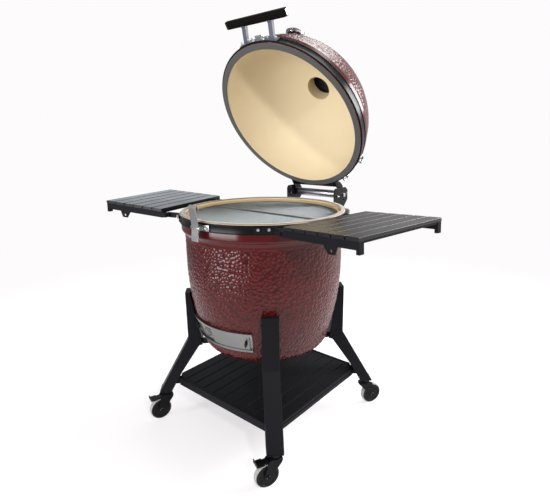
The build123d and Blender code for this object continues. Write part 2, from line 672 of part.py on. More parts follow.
def make_shelf_slats():
    """Folded steel slats that run along the shelf."""
    pitch = SHELF_W / SHELF_SLATS
    slat = channel(pitch - 4.5, SHELF_L, SLAT_H, 1.8)
    return [Pos((i + 0.5) * pitch, 0, 0) * slat for i in range(SHELF_SLATS)]


def make_shelf_frame(front):
    """Two rails under the slats' ends, cross ties, pivot ears, end plates and a lock tab."""
    z1 = -SLAT_H
    z0 = z1 - RAIL_H
    frame = block(4, 16, -SHELF_L / 2 + 4, SHELF_L / 2 - 4, z1 - 7, z1)
    frame += block(SHELF_W - 16, SHELF_W - 4, -SHELF_L / 2 + 4, SHELF_L / 2 - 4, z1 - 7, z1)
    for side in (-1, 1):
        y0, y1 = sorted((side * (SHELF_L / 2 - 2), side * (SHELF_L / 2 - 2 - RAIL_T)))
        rail = block(0, SHELF_W - 2, y0, y1, z0, z1)
        rail -= block(4, SHELF_W - 6, y0 + 2.5, y1 - 2.5, z0 - 1, z1 - 2.5)
        nose = block(PIVOT_U, 4, y0, y1, PIVOT_DZ - 9, PIVOT_DZ + 9)
        nose += Pos(PIVOT_U, (y0 + y1) / 2, PIVOT_DZ) * Rot(90, 0, 0) * Cylinder(9, RAIL_T)
        frame += rail + nose
        frame += block(SHELF_W - 14, SHELF_W - 2, y0, y1, z0 - 12, z0)
    lock = outline([(168, z0 + 2), (222, z0 + 2), (212, z0 - 24), (186, z0 - 24)], Plane.XZ, 3)
    lock -= Pos(198, 0, z0 - 14) * Rot(90, 0, 0) * Cylinder(LOCK_HOLE_R, 10)
    frame += Pos(0, front * (SHELF_L / 2 - 3.5), 0) * lock
    for side in (-1, 1):
        frame -= Pos(PIVOT_U, side * SHELF_L / 2, PIVOT_DZ) * Rot(90, 0, 0) * Cylinder(PIVOT_R + RUN, 80)
    return frame


LOCK_HOLE_R = 4.5
PAD_FROM, PAD_TO = 31.0, 44.5         # bracket pads, from the shelf's own direction
PAD_BOLTS = (35.3, 41.5)


def make_shelf_brackets(side):
    """Two brackets on the band: a curved pad, a straight arm and a shoulder pin."""
    turn = -SHELF_ANGLES[side] if side == "right" else 180 + SHELF_ANGLES[side]
    brackets = []
    z = SHELF_TOP + PIVOT_DZ
    for end in (-1, 1):
        a0, a1 = sorted((end * PAD_FROM, end * PAD_TO))
        pad = sector(BAND_R + 0.3, BAND_R + 3.2, RIM_Z - BAND_H + 4, RIM_Z - 4, a0, a1)
        inner = SHELF_L / 2 - 2 - RAIL_T - GAP
        y0, y1 = sorted((end * inner, end * (inner - ARM_T)))
        pivot = SHELF_INNER + PIVOT_U
        arm = block(262, pivot, y0, y1, z - 10, z + 10)
        arm += Pos(pivot, (y0 + y1) / 2, z) * Rot(90, 0, 0) * Cylinder(10, ARM_T)
        arm -= Pos(0, 0, z) * Cylinder(BAND_R + 0.3, 90)
        pin = rod(PIVOT_R, (pivot, y0 if end > 0 else y1, z), (pivot, end * (SHELF_L / 2 + 1), z))
        head = rod(7, (pivot, end * (SHELF_L / 2 - 2 + GAP), z), (pivot, end * (SHELF_L / 2 + 3), z))
        pad = drilled(pad, RIM_Z - BAND_H / 2 + 3, [end * a for a in PAD_BOLTS])
        brackets.append(around(pad + arm + pin + head, turn))
    return brackets


def make_band_fasteners():
    """Clamps of the bowl's band and the acorn bolts of what is fixed to it."""
    z = RIM_Z - BAND_H / 2
    pieces = [band_clamp(z, angle) for angle in BOWL_CLAMPS]
    for side, turn in (("right", -SHELF_ANGLES["right"]), ("left", 180 + SHELF_ANGLES["left"])):
        for end in (-1, 1):
            pieces += [band_bolt(z + 3, turn + end * a, 3.3) for a in PAD_BOLTS]
    pieces += [band_bolt(LATCH_Z, angle, PLATE_T) for angle in LATCH_BOLTS]
    pieces += [saddle_bolt(x, z) for x in SADDLE_BOLTS]
    for side in (-1, 1):
        for y, dz in CHEEK_BOLTS:
            stud = bolt(3, 4.4, CHEEK_T + 2)
            pieces.append(facing(stud, (side * CHEEK_X, y, HINGE_Z + dz), (side, 0, 0)))
    return pieces


# ---- cart ----------------------------------------------------------------------------
LEGS = {"front_right": -45.0, "front_left": -135.0, "back_right": 45.0, "back_left": 135.0}
LEG_WALL = 2.5
FOOT_IN_R = 401.0


def leg_outline():
    """Outline of a leg in its own upright plane: radius from the axis, then height."""
    return [
        (LEG_OUT_R, LEG_TOP_Z), (LEG_OUT_R, LEG_BEND_Z), (LEG_FOOT_R, LEG_FOOT_Z),
        (FOOT_IN_R, LEG_FOOT_Z), (353, 216), (276, 332), (262, 336), (264, 362), (299.5, LEG_TOP_Z),
    ]


def make_leg(angle):
    """Hollow welded leg: upright, bend and splayed strut, open at the foot."""
    face = make_face(Polyline(*leg_outline(), close=True))
    core = offset(face, -LEG_WALL, kind=Kind.INTERSECTION)
    solid = extrude(Plane.XZ * face, LEG_W / 2, both=True)
    sharp = solid.edges().filter_by(lambda e: abs(e.center().Y) > LEG_W / 2 - 0.1)
    solid = fillet(sharp, 2.0)
    hollow = extrude(Plane.XZ * core, LEG_W / 2 - LEG_WALL, both=True)
    mouth = block(FOOT_IN_R + 4, LEG_FOOT_R - 8, -26, 26, LEG_FOOT_Z - 5, LEG_FOOT_Z + 8)
    return around(solid - hollow - mouth, angle)


def make_leg_pads():
    """Pads between the legs and the bowl, cut to the bowl's curve."""
    barrel = shell_patch(-60, 0.3, 400, 600, -44, 44)
    pads = []
    for angle in LEGS.values():
        pad = outline([(298.2, 557), (277.4, 440), (262, 440), (262, 557)], Plane.XZ, 44)
        pads.append(around(pad - around(barrel, 90), angle))
    return pads


def make_cradle():
    """Ring under the bowl with four arms to the legs."""
    z0, z1 = BASE_Z - 9, BASE_Z - 0.1
    cradle = tube(200, 150, z0, z1)
    for angle in LEGS.values():
        cradle += around(block(190, 261.5, -20, 20, z0, z1), angle)
    return cradle


def corner_cut(shape, radius):
    """Trim the four corners of a square piece across the diagonals."""
    for angle in LEGS.values():
        shape -= around(block(radius, radius + 200, -150, 150, 0, 400), angle)
    return shape


TRAY_H = 30.0
TRAY_CUT = 366.0


def make_tray_frame():
    """Frame of the lower shelf: front and back rails with a ledge, side rails and gussets."""
    h, z0, z1 = TRAY_HALF, TRAY_Z, TRAY_Z + TRAY_H
    frame = None
    for side in (-1, 1):
        y0, y1 = sorted((side * h, side * (h - 20)))
        lip = side * (h - 2)
        rail = block(-h, h, y0, y1, z0, z1 - 4) + block(-h, h, lip - 2, lip + 2, z0, z1)
        y0, y1 = sorted((side * (h - 20), side * (h - 42)))
        rail += block(-h, h, y0, y1, z0 + 10, z0 + 16)
        frame = rail if frame is None else frame + rail
    for side in (-1, 1):
        x0, x1 = sorted((side * (h - 1), side * (h - 17)))
        frame += block(x0, x1, -h + 10, h - 10, z0, z0 + 16)
    frame = corner_cut(frame, TRAY_CUT)
    gusset = outline([(330, z0 + 1), (385.3, z0 + 1), (372, z0 + 25), (330, z0 + 25)], Plane.XZ, 36)
    for angle in LEGS.values():
        frame += around(gusset, angle) - block(-h + 2, h - 2, -h + 19, h - 19, z0 + 15.8, z0 + 40)
    return frame


def make_tray_slats():
    """Folded steel slats of the lower shelf, trimmed at the corners."""
    pitch = (2 * TRAY_HALF - 2) / TRAY_SLATS
    slat = channel(pitch - 4, 2 * (TRAY_HALF - 20.4), 10, 1.6)
    first = -TRAY_HALF + 1 + pitch / 2
    placed = [Pos(first + i * pitch, 0, TRAY_Z + 26.1) * slat for i in range(TRAY_SLATS)]
    return [corner_cut(each, TRAY_CUT - 3) for each in placed]


def make_cart_bolts():
    """Hexagonal bolts that hold the cradle's arms and the tray's gussets to the legs."""
    bolts = []
    for angle in LEGS.values():
        for r, z in ((245, BASE_Z - 9), (355, TRAY_Z - 0.1)):
            head = extrude(RegularPolygon(6.5, 6), -5) + Pos(0, 0, -0.6) * Cylinder(8.5, 1.2)
            bolts.append(around(Pos(r, 0, z - 0.2) * head, angle))
    return bolts


# ---- casters -------------------------------------------------------------------------
KING_R = 5.0
AXLE_R = 4.0
FORK_Z = 108.0
FORK_T = 3.0
BRAKED = ("front_right", "front_left")


def caster_place(shape, name):
    """Move a shape from the caster's own frame (swivel on Z, trailing along +X) to its leg."""
    a = radians(LEGS[name])
    return Pos(CASTER_R * cos(a), CASTER_R * sin(a), 0) * Rot(0, 0, CASTER_TURN[name]) * shape


def make_caster_mounts():
    """Plate, swivel race and king pin of each caster."""
    mounts = []
    for name in LEGS:
        a = radians(LEGS[name])
        mount = block(-24, 24, -29, 29, LEG_FOOT_Z - 4.1, LEG_FOOT_Z - 0.1)
        mount = Rot(0, 0, LEGS[name]) * mount
        mount += Pos(0, 0, 117.5) * Cylinder(19, 16) + Pos(0, 0, 104) * Cylinder(KING_R, 20)
        mount += Pos(0, 0, 98.5) * Cylinder(9, 7)
        mounts.append(Pos(CASTER_R * cos(a), CASTER_R * sin(a), 0) * mount)
    return mounts


def make_fork(name):
    """Pressed fork with its axle bolt across."""
    half = WHEEL_W / 2 + 2.2
    side_view = [
        (-21, FORK_Z), (22, FORK_Z), (31, 100), (CASTER_TRAIL + 12, 56), (CASTER_TRAIL + 11, 39),
        (CASTER_TRAIL + 4, 34), (CASTER_TRAIL - 6, 34), (CASTER_TRAIL - 12, 44), (-18, 88), (-22, 98),
    ]
    fork = Pos(0, 0, FORK_Z - 1.5) * Cylinder(22, 3) & block(-22, 22, -30, 30, 90, 120)
    fork += block(-21, 14, -half - FORK_T, half + FORK_T, FORK_Z - 3, FORK_Z)
    for side in (-1, 1):
        fork += Pos(0, side * (half + FORK_T / 2), 0) * outline(side_view, Plane.XZ, FORK_T)
    fork -= Cylinder(KING_R + RUN, 400)
    reach = half + FORK_T
    fork -= rod(AXLE_R, (CASTER_TRAIL, -reach - 1, WHEEL_R), (CASTER_TRAIL, reach + 1, WHEEL_R))
    if name in BRAKED:
        fork -= rod(3.0 + RUN, (PEDAL_X, -reach - 1, PEDAL_Z), (PEDAL_X, reach + 1, PEDAL_Z))
    axle = rod(AXLE_R, (CASTER_TRAIL, -reach - 3, WHEEL_R), (CASTER_TRAIL, reach + 3, WHEEL_R))
    for side in (-1, 1):
        head = extrude(RegularPolygon(7, 6), 4.5)
        axle += facing(head, (CASTER_TRAIL, side * (reach + 0.05), WHEEL_R), (0, side, 0))
    return caster_place(fork, name), caster_place(axle, name)


PEDAL_X, PEDAL_Z = 20.0, 98.0


def make_pedal(name):
    """Brake pedal on a cross shaft, reaching out over the wheel."""
    reach = WHEEL_W / 2 + 2.2 + FORK_T
    pedal = rod(3.0, (PEDAL_X, -reach, PEDAL_Z), (PEDAL_X, reach, PEDAL_Z))
    pedal += block(16, 50, -13, 13, 96, 101)
    pedal += block(46, 74, -18, 18, 96, 101)
    pedal += block(71, 74, -18, 18, 96, 108)
    return caster_place(pedal, name)


def make_wheel(name):
    """Moulded wheel: hub, web and rim in one piece, and the tread round it."""
    rim_r = WHEEL_R - 9
    core = tube(rim_r, rim_r - 5, -WHEEL_W / 2 + 1, WHEEL_W / 2 - 1)
    core += tube(12, AXLE_R + RUN, -WHEEL_W / 2, WHEEL_W / 2)
    core += tube(rim_r - 4, 11, -4, 4)
    tread = tube(WHEEL_R, rim_r, -WHEEL_W / 2, WHEEL_W / 2)
    rims = tread.edges().filter_by(GeomType.CIRCLE).sort_by(SortBy.RADIUS)[-2:]
    tread = fillet(rims, 3)
    turn = Pos(CASTER_TRAIL, 0, WHEEL_R) * Rot(90, 0, 0)
    return caster_place(turn * core, name), caster_place(turn * tread, name)


# ---- assembly ------------------------------------------------------------------------
def build():
    """Make every sub-part in place."""
    add("bowl", make_bowl())
    add("bowl_gasket", tube(CERAMIC_R - 1, CERAMIC_R - RIM_WALL + 1.3, RIM_Z + 2.1, RIM_Z + 2 + GASKET_T))
    add("bowl_band", make_band(RIM_Z - BAND_H))
    add("band_fasteners", *make_band_fasteners())
    add("fire_box", make_fire_box())
    add("fire_ring", make_fire_ring())
    add("charcoal_grate", make_charcoal_grate())
    for side in ("front", "back"):
        add("cooking_grate_" + side, make_grate(side))
    for name, angle in LEGS.items():
        add("leg_" + name, make_leg(angle))
    add("leg_pads", *make_leg_pads())
    add("bowl_cradle", make_cradle())
    add("tray_frame", make_tray_frame())
    add("tray_slats", *make_tray_slats())
    add("cart_bolts", *make_cart_bolts())
    add("caster_mounts", *make_caster_mounts())

    add("draft_frame", make_draft_frame())
    add("draft_screws", *make_draft_screws())
    add("draft_door_solid", make_solid_door())
    add("draft_knob_solid", make_draft_knob(SOLID_DOOR[1] - 2.6, 4.6 + DRAFT_LAYER))
    add("draft_door_slotted", make_slotted_door())
    add("draft_knob_slotted", make_draft_knob(SLOTTED_DOOR[0] + 2.2, 2.2 + DRAFT_LAYER))

    add("hinge_lower_bracket", make_hinge_lower())
    add("hinge_pin", make_hinge_pin())
    add("hinge_barrel", make_hinge_barrel())
    add("latch_base", *make_latch_base())
    add("latch_hook", make_latch_hook())

    add("lid_dome", lift(make_dome() - make_thermometer_hole()))
    add("lid_gasket", lift(tube(CERAMIC_R - 1, CERAMIC_R - WALL + 2, LID_Z - GASKET_T + 0.3, LID_Z - 0.1)))
    add("lid_band", lift(make_band(LID_Z + 1)))
    add("lid_fasteners", *[lift(piece) for piece in make_lid_fasteners()])
    add("hinge_upper_bracket", lift(make_hinge_upper()))
    add("handle_bar", lift(make_handle_bar()))
    add("handle_caps", *[lift(cap) for cap in make_handle_caps()])
    add("handle_posts", *[lift(post) for post in make_handle_posts()])
    add("thermometer_case", lift(make_thermometer_case()))
    add("thermometer_glass", lift(make_thermometer_glass()))
    add("latch_strike", lift(make_latch_strike()))
    add("vent_base", lift(make_vent_base()))
    add("vent_cap", lift(make_vent_cap()))

    for side, front in (("right", -1), ("left", 1)):
        add("shelf_brackets_" + side, *make_shelf_brackets(side))
        add("shelf_slats_" + side, *[shelf_place(slat, side) for slat in make_shelf_slats()])
        add("shelf_frame_" + side, shelf_place(make_shelf_frame(front), side))

    for name in LEGS:
        add("caster_fork_" + name, *make_fork(name))
        add("wheel_" + name, *make_wheel(name))
    for name in BRAKED:
        add("brake_pedal_" + name, make_pedal(name))


def make_thermometer_hole():
    """Hole in the dome for the thermometer's stem."""
    return thermometer_plane() * Cylinder(4.5, 120)


if __name__ == "__main__":
    os.makedirs("parts", exist_ok=True)
    build()
    for name, shape in PARTS.items():
        export_step(shape, "parts/" + name + ".step")
    print(len(PARTS), "sub-parts")
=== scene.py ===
"""Looks of a kamado ceramic grill: glazed bowl and lid, steel fittings, cart and casters.

Laid out as an add-on and run as a script. Sizes are metres, +Z is up and the front faces -Y.
Lid pieces are drawn with the lid closed, then turned about the hinge to where it is stored.
"""
import json
import math

import bmesh
import bpy
import numpy as np
from bpy.props import FloatProperty, FloatVectorProperty, PointerProperty
from mathutils import Matrix, Vector, noise


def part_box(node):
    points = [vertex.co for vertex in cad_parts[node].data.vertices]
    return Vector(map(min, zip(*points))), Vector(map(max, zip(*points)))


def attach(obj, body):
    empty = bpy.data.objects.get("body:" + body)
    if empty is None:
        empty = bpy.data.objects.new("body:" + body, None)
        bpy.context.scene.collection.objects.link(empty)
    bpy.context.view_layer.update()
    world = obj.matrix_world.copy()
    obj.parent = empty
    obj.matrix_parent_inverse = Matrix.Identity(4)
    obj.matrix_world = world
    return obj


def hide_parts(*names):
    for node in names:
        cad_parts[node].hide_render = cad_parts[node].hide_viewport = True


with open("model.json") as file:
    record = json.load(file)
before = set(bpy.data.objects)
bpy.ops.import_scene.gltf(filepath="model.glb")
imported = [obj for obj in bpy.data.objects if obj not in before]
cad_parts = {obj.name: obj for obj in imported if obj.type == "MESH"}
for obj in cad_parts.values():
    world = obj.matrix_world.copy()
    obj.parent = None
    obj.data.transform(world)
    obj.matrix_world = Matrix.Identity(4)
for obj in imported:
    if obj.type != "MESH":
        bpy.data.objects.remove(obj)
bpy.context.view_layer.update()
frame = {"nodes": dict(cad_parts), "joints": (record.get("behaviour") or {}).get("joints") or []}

bl_info = {
    "name": "Kamado grill looks",
    "version": (1, 0, 0),
    "blender": (4, 5, 0),
    "location": "3D View > Sidebar > Grill",
    "description": "Builds the glazed ceramics, steelwork and casters of a kamado grill",
    "category": "Object",
}

# ---- sizes taken from the frame -------------------------------------------------------
JOINTS = {joint["name"]: joint for joint in frame["joints"]}
MM = 0.001
BAND_LOW, BAND_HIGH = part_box("bowl_band")
BAND_R = BAND_HIGH.x
RIM_Z = BAND_HIGH.z
BAND_H = RIM_Z - BAND_LOW.z
CERAMIC_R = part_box("bowl")[1].x
BASE_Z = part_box("bowl")[0].z
HINGE = Vector(JOINTS["lid_hinge"]["pos_m"])
LID_OPEN = math.radians(JOINTS["lid_hinge"]["range_deg"][1])
LIFT = Matrix.Translation(HINGE) @ Matrix.Rotation(-LID_OPEN, 4, "X") @ Matrix.Translation(-HINGE)
LID_Z = RIM_Z + 10 * MM
FLAT = Matrix.Identity(4)

BARREL_R, BARREL_Z, BARREL_ARC = 0.303, 0.690, 0.950
DOME_R, DOME_H, DOME_LIFT = 0.312, 0.262, 0.022
CHIMNEY_R = 0.051
LIP_Z, STEP_Z = RIM_Z - BAND_H - 0.033, RIM_Z - BAND_H - 0.048
FOOT_H = 0.055                   # height of the round between the bowl's wall and its base
FLOOR_Z = BASE_Z + 0.032         # inside of the bowl's base
LIP_TOP = LID_Z + BAND_H + 24 * MM
PLAIN_RELIEF = 0.62              # relief value where the glaze has no pebbles
ROUND = 256                      # steps round a large plain ring
FINE_ROUND = 720                 # steps round a soft ring


def settings():
    """The scene's own sizes and colours."""
    return bpy.context.scene.grill_sizes, bpy.context.scene.grill_colours


class GrillSizes(bpy.types.PropertyGroup):
    """Sizes of the surface detail."""

    pebble: FloatProperty(name="Pebble", description="Width of one pebble of the glazed relief",
                          default=12.3 * MM, min=4 * MM, max=30 * MM, unit="LENGTH")
    relief: FloatProperty(name="Relief", description="Depth of the grooves between pebbles",
                          default=2.3 * MM, min=0.0, max=4 * MM, unit="LENGTH")
    mesh_step: FloatProperty(name="Mesh step", description="Spacing of the points on the relief",
                             default=2.6 * MM, min=1.5 * MM, max=12 * MM, unit="LENGTH")
    edge: FloatProperty(name="Edge", description="Round on the edges of folded and cut steel",
                        default=0.7 * MM, min=0.0, max=3 * MM, unit="LENGTH")
    floor: FloatProperty(name="Floor", description="Radius at which the floor has faded away",
                         default=3.0, min=1.5, max=20.0, unit="LENGTH")


def colour_setting(name, words, default):
    """A colour that the user can change."""
    return FloatVectorProperty(name=name, description=words, default=default, subtype="COLOR",
                               min=0.0, max=1.0)


class GrillColours(bpy.types.PropertyGroup):
    """Main colour of each finish."""

    glaze: colour_setting("Glaze", "Raised parts of the red glaze", (0.080, 0.0072, 0.0072))
    # painted shade: the darker glaze colour put in the grooves between pebbles
    glaze_groove_shade: colour_setting("Glaze in grooves", "Red glaze darkened by painted shade in the grooves", (0.026, 0.0024, 0.0024))
    cream: colour_setting("Lid inside", "Unglazed inside of the lid", (0.770, 0.645, 0.430))
    clay: colour_setting("Fire clay", "Fire box and fire ring", (0.600, 0.440, 0.230))
    felt: colour_setting("Bowl gasket", "Felt of the bowl's gasket", (0.230, 0.200, 0.165))
    mesh: colour_setting("Lid gasket", "Woven ring of the lid's gasket", (0.058, 0.055, 0.052))
    band: colour_setting("Bands", "Black coat of the bands and the hinge", (0.0045, 0.0045, 0.0055))
    coat: colour_setting("Powder coat", "Shelves, legs and lower shelf", (0.0070, 0.0072, 0.0090))
    post: colour_setting("Handle posts", "Satin coat of the handle's posts", (0.085, 0.092, 0.115))
    wood: colour_setting("Handle", "Dark stained wood of the handle", (0.0034, 0.0024, 0.0021))
    steel: colour_setting("Steel", "Stainless steel", (0.400, 0.405, 0.405))
    tread: colour_setting("Treads", "Rubber of the wheels", (0.330, 0.330, 0.310))
    floor: colour_setting("Floor", "Pale floor", (0.480, 0.476, 0.478))


# ---- finishes -------------------------------------------------------------------------
class Value:
    """One socket of a node graph; sums and products of values add its Math nodes."""

    def __init__(self, graph, socket):
        self.graph = graph
        self.socket = socket

    def math(self, operation, first, second):
        """Math node on two values or numbers."""
        return self.graph.node("ShaderNodeMath", {"operation": operation}, {0: first, 1: second})

    def __add__(self, other):
        return self.math("ADD", self, other)

    __radd__ = __add__

    def __sub__(self, other):
        return self.math("SUBTRACT", self, other)

    def __rsub__(self, other):
        return self.math("SUBTRACT", other, self)

    def __mul__(self, other):
        return self.math("MULTIPLY", self, other)

    __rmul__ = __mul__


class Graph:
    """Node graph that is filled with nodes by name."""

    def __init__(self, tree):
        self.tree = tree

    def put(self, socket, value):
        """Link a value to a socket, or set the socket to a number or colour."""
        if isinstance(value, Value):
            self.tree.links.new(value.socket, socket)
        elif socket.type == "RGBA":
            socket.default_value = (*value, 1.0)
        else:
            socket.default_value = value

    def node(self, kind, settings=None, sockets=None, out=0):
        """Add a node, set it up, fill its sockets, and return one of its outputs."""
        node = self.tree.nodes.new(kind)
        for key, value in (settings or {}).items():
            setattr(node, key, value)
        for key, value in (sockets or {}).items():
            self.put(node.inputs[key], value)
        return Value(self, node.outputs[out])

    def band(self, value, low, high):
        """Smooth step from 0 at low to 1 at high."""
        sockets = {"Value": value, "From Min": low, "From Max": high}
        return self.node("ShaderNodeMapRange", {"interpolation_type": "SMOOTHSTEP"}, sockets)

    def blend(self, factor, first, second):
        """Mix of two colours."""
        sockets = {0: factor, 6: first, 7: second}
        return self.node("ShaderNodeMix", {"data_type": "RGBA"}, sockets, out=2)

    def vector(self, operation, first, second, out="Value"):
        """Vector Math node on two vectors."""
        return self.node("ShaderNodeVectorMath", {"operation": operation}, {0: first, 1: second}, out)


class Finish(Graph):
    """A material: uniform values go on the shader's sockets, the rest is linked by name."""

    def __init__(self, name, **uniform):
        self.material = bpy.data.materials.new(name)
        self.material.use_nodes = True
        super().__init__(self.material.node_tree)
        self.shader = self.tree.nodes["Principled BSDF"]
        for socket, value in uniform.items():
            self.put(self.shader.inputs[socket.replace("_", " ")], value)
        self.place = self.node("ShaderNodeTexCoord", out="Object")

    def stretched(self, scale, source=None):
        """Coordinates scaled by a factor for each axis."""
        return self.node("ShaderNodeMapping", {}, {"Vector": source or self.place, "Scale": scale})

    def noise(self, scale, detail=3.0, place=None):
        """Soft noise from 0 to 1."""
        sockets = {"Vector": place or self.place, "Scale": scale, "Detail": detail}
        return self.node("ShaderNodeTexNoise", {}, sockets)

    def cells(self, scale, feature="F1", place=None):
        """Distance to the nearest of many scattered points, or to the edge between them."""
        sockets = {"Vector": place or self.place, "Scale": scale}
        return self.node("ShaderNodeTexVoronoi", {"feature": feature}, sockets)

    def bump(self, height, depth, strength=1.0, under=None):
        """Normal from a height, laid over another normal if one is given."""
        sockets = {"Height": height, "Distance": depth, "Strength": strength}
        if under:
            sockets["Normal"] = under
        return self.node("ShaderNodeBump", {}, sockets)

    def wear(self, **channels):
        """Link what changes over the surface to the shader."""
        for socket, value in channels.items():
            self.put(self.shader.inputs[socket.replace("_", " ")], value)
        return self.material


def tint(colour, factor):
    """A lighter or darker version of a colour."""
    return tuple(min(1.0, c * factor) for c in colour)


FINISHES = {}


def finish(name):
    """A finish by name, made when it is first used."""
    if name not in FINISHES:
        FINISHES[name] = FINISH_MAKERS[name](settings()[1])
    return FINISHES[name]


def glaze_finish(colours):
    """Deep red glaze: painted shade darkens it in the grooves and the crowns are lighter, under a clear
    gloss.
    """
    f = Finish("red_glaze", IOR=1.45, Specular_IOR_Level=0.34)
    relief = f.node("ShaderNodeAttribute", {"attribute_name": "relief"}, out="Fac")
    cloud = f.noise(7.0, 4.0)
    speck = f.band(f.noise(620.0, 2.0), 0.62, 0.72)
    # painted shade: the pebble relief darkens the glaze in its grooves and lightens the crowns; the cloud
    # adds random tone
    groove_shade_and_cloud = f.band(relief * 0.7 + cloud * 0.4, 0.05, 1.05)
    body = f.blend(groove_shade_and_cloud, tuple(colours.glaze_groove_shade), tuple(colours.glaze))
    body = f.blend(speck * 0.35, body, tint(colours.glaze, 0.35))
    peel = f.noise(260.0, 2.0)
    return f.wear(Base_Color=body, Roughness=0.10 + cloud * 0.10, Normal=f.bump(peel, 0.05 * MM, 0.3))


def cream_finish(colours):
    """Unglazed cream ceramic with faint cloudy stains and a fine grain."""
    f = Finish("cream_ceramic")
    cloud = f.noise(3.2, 5.0)
    grain = f.noise(900.0, 3.0)
    warm = f.blend(cloud, tuple(colours.cream), tint(colours.cream, 0.86))
    speck = f.band(f.cells(170.0), 0.10, 0.02)
    body = f.blend(speck * 0.35, warm, tint(colours.cream, 0.55))
    return f.wear(Base_Color=body, Roughness=0.55 + grain * 0.25, Normal=f.bump(grain, 0.15 * MM, 0.6))


def clay_finish(colours):
    """Tan fire clay with pores and grog."""
    f = Finish("fire_clay")
    cloud = f.noise(11.0, 5.0)
    pores = f.band(f.cells(240.0), 0.20, 0.05)
    grain = f.noise(700.0, 4.0)
    body = f.blend(cloud, tuple(colours.clay), tint(colours.clay, 0.72))
    body = f.blend(pores * 0.6, body, tint(colours.clay, 0.4))
    height = grain * 0.6 - pores
    return f.wear(Base_Color=body, Roughness=0.7 + grain * 0.2, Normal=f.bump(height, 0.3 * MM, 0.7))


def felt_finish(colours):
    """Grey-brown felt with loose fibres."""
    f = Finish("gasket_felt", Sheen_Weight=0.35, Sheen_Roughness=0.6)
    fibres = f.noise(900.0, 6.0, f.stretched((1.0, 1.0, 0.4)))
    cloud = f.noise(26.0, 4.0)
    body = f.blend(fibres * 0.7 + cloud * 0.3, tint(colours.felt, 0.6), tint(colours.felt, 1.5))
    return f.wear(Base_Color=body, Roughness=0.92, Normal=f.bump(fibres, 0.5 * MM, 0.9))


def mesh_finish(colours):
    """Woven graphite ring: two sets of strands that cross on the slant."""
    f = Finish("gasket_weave", Sheen_Weight=0.2)
    place = f.node("ShaderNodeUVMap")
    strands = []
    for slant in (1.0, -1.0):
        turned = f.node("ShaderNodeMapping", {}, {"Vector": place, "Rotation": (0.0, 0.0, slant * 0.785)})
        sockets = {"Vector": turned, "Scale": 105.0, "Distortion": 0.4}
        strands.append(f.node("ShaderNodeTexWave", {}, sockets, "Fac"))
    weave = f.node("ShaderNodeMath", {"operation": "MAXIMUM"}, {0: strands[0], 1: strands[1]})
    dust = f.noise(300.0, 4.0)
    body = f.blend(weave * 0.7 + dust * 0.3, tint(colours.mesh, 0.45), tint(colours.mesh, 1.35))
    return f.wear(Base_Color=body, Roughness=0.62 + dust * 0.25, Normal=f.bump(weave, 0.35 * MM, 0.9))


def coat_finish(name, colour, roughness, peel_depth, shine=0.2):
    """Sprayed coat on steel: orange peel, fine speckle and slight gloss changes."""
    f = Finish(name, Specular_IOR_Level=shine)
    peel = f.noise(520.0, 2.0)
    speck = f.band(f.cells(900.0), 0.22, 0.05)
    cloud = f.noise(6.0, 4.0)
    body = f.blend(cloud, tint(colour, 0.86), tint(colour, 1.14))
    body = f.blend(speck * 0.25, body, tint(colour, 1.9))
    return f.wear(Base_Color=body, Roughness=roughness - 0.06 + cloud * 0.12,
                  Normal=f.bump(peel, peel_depth, 0.5))


def band_finish(colours):
    """Black coat of the bands and the hinge."""
    return coat_finish("black_coat", tuple(colours.band), 0.24, 0.05 * MM, 0.14)


def powder_finish(colours):
    """Charcoal powder coat of the shelves, legs and lower shelf."""
    return coat_finish("charcoal_powder", tuple(colours.coat), 0.46, 0.09 * MM, 0.06)


def shelf_lit_copy_finish(colours):
    """Glossier charcoal coat of the side shelves, a lighter copy of the frames' coat: painted light that sets
    the slats apart from the frames where no shadow line is built.
    """
    # painted light: the slats' coat is 1.15 times lighter than the frames' coat, standing in for the shadow
    # line between them
    return coat_finish("charcoal_satin_lit_copy", tint(colours.coat, 1.15), 0.28, 0.06 * MM, 0.27)


def post_finish(colours):
    """Satin blue-grey coat of the handle's posts."""
    return coat_finish("satin_grey", tuple(colours.post), 0.38, 0.04 * MM)


def cast_finish(colours):
    """Cast iron and the cast vent: matt black with sand texture."""
    f = Finish("cast_black", Metallic=0.35)
    sand = f.noise(420.0, 5.0)
    cloud = f.noise(12.0, 4.0)
    base = tint(colours.band, 1.6)
    body = f.blend(sand * 0.6 + cloud * 0.4, tint(base, 0.6), tint(base, 2.2))
    return f.wear(Base_Color=body, Roughness=0.55 + sand * 0.25, Normal=f.bump(sand, 0.4 * MM, 0.8))


def steel_finish(name, colour, lines, roughness):
    """Metal with fine lines along one direction, smudged a little."""
    f = Finish(name, Metallic=1.0)
    grain = f.noise(1.0, 4.0, f.stretched(lines))
    smudge = f.noise(16.0, 5.0)
    body = f.blend(grain * 0.6 + smudge * 0.4, tint(colour, 0.72), tint(colour, 1.12))
    return f.wear(Base_Color=body, Roughness=roughness + grain * 0.12 + smudge * 0.08,
                  Normal=f.bump(grain, 0.05 * MM, 0.35))


def brushed_finish(colours):
    """Brushed stainless of the draft doors: lines run round the bowl."""
    return steel_finish("brushed_steel", tint(colours.steel, 0.68), (9.0, 9.0, 1700.0), 0.24)


def wire_finish(colours):
    """Bright drawn wire of the cooking grates."""
    return steel_finish("grate_wire", (0.160, 0.176, 0.186), (1400.0, 14.0, 1400.0), 0.24)


def bolt_finish(colours):
    """Zinc and stainless fasteners."""
    return steel_finish("bright_fasteners", tint(colours.steel, 1.2), (500.0, 500.0, 500.0), 0.18)


def turned_finish(colours):
    """Turned aluminium of the hinge barrel: lines run round it."""
    return steel_finish("turned_aluminium", (0.38, 0.39, 0.42), (1500.0, 16.0, 16.0), 0.24)


def chrome_finish(colours):
    """Polished bezel of the thermometer."""
    f = Finish("polished_chrome", Metallic=1.0)
    haze = f.noise(30.0, 5.0)
    body = f.blend(haze, (0.42, 0.42, 0.44), (0.58, 0.58, 0.60))
    return f.wear(Base_Color=body, Roughness=0.05 + haze * 0.10)


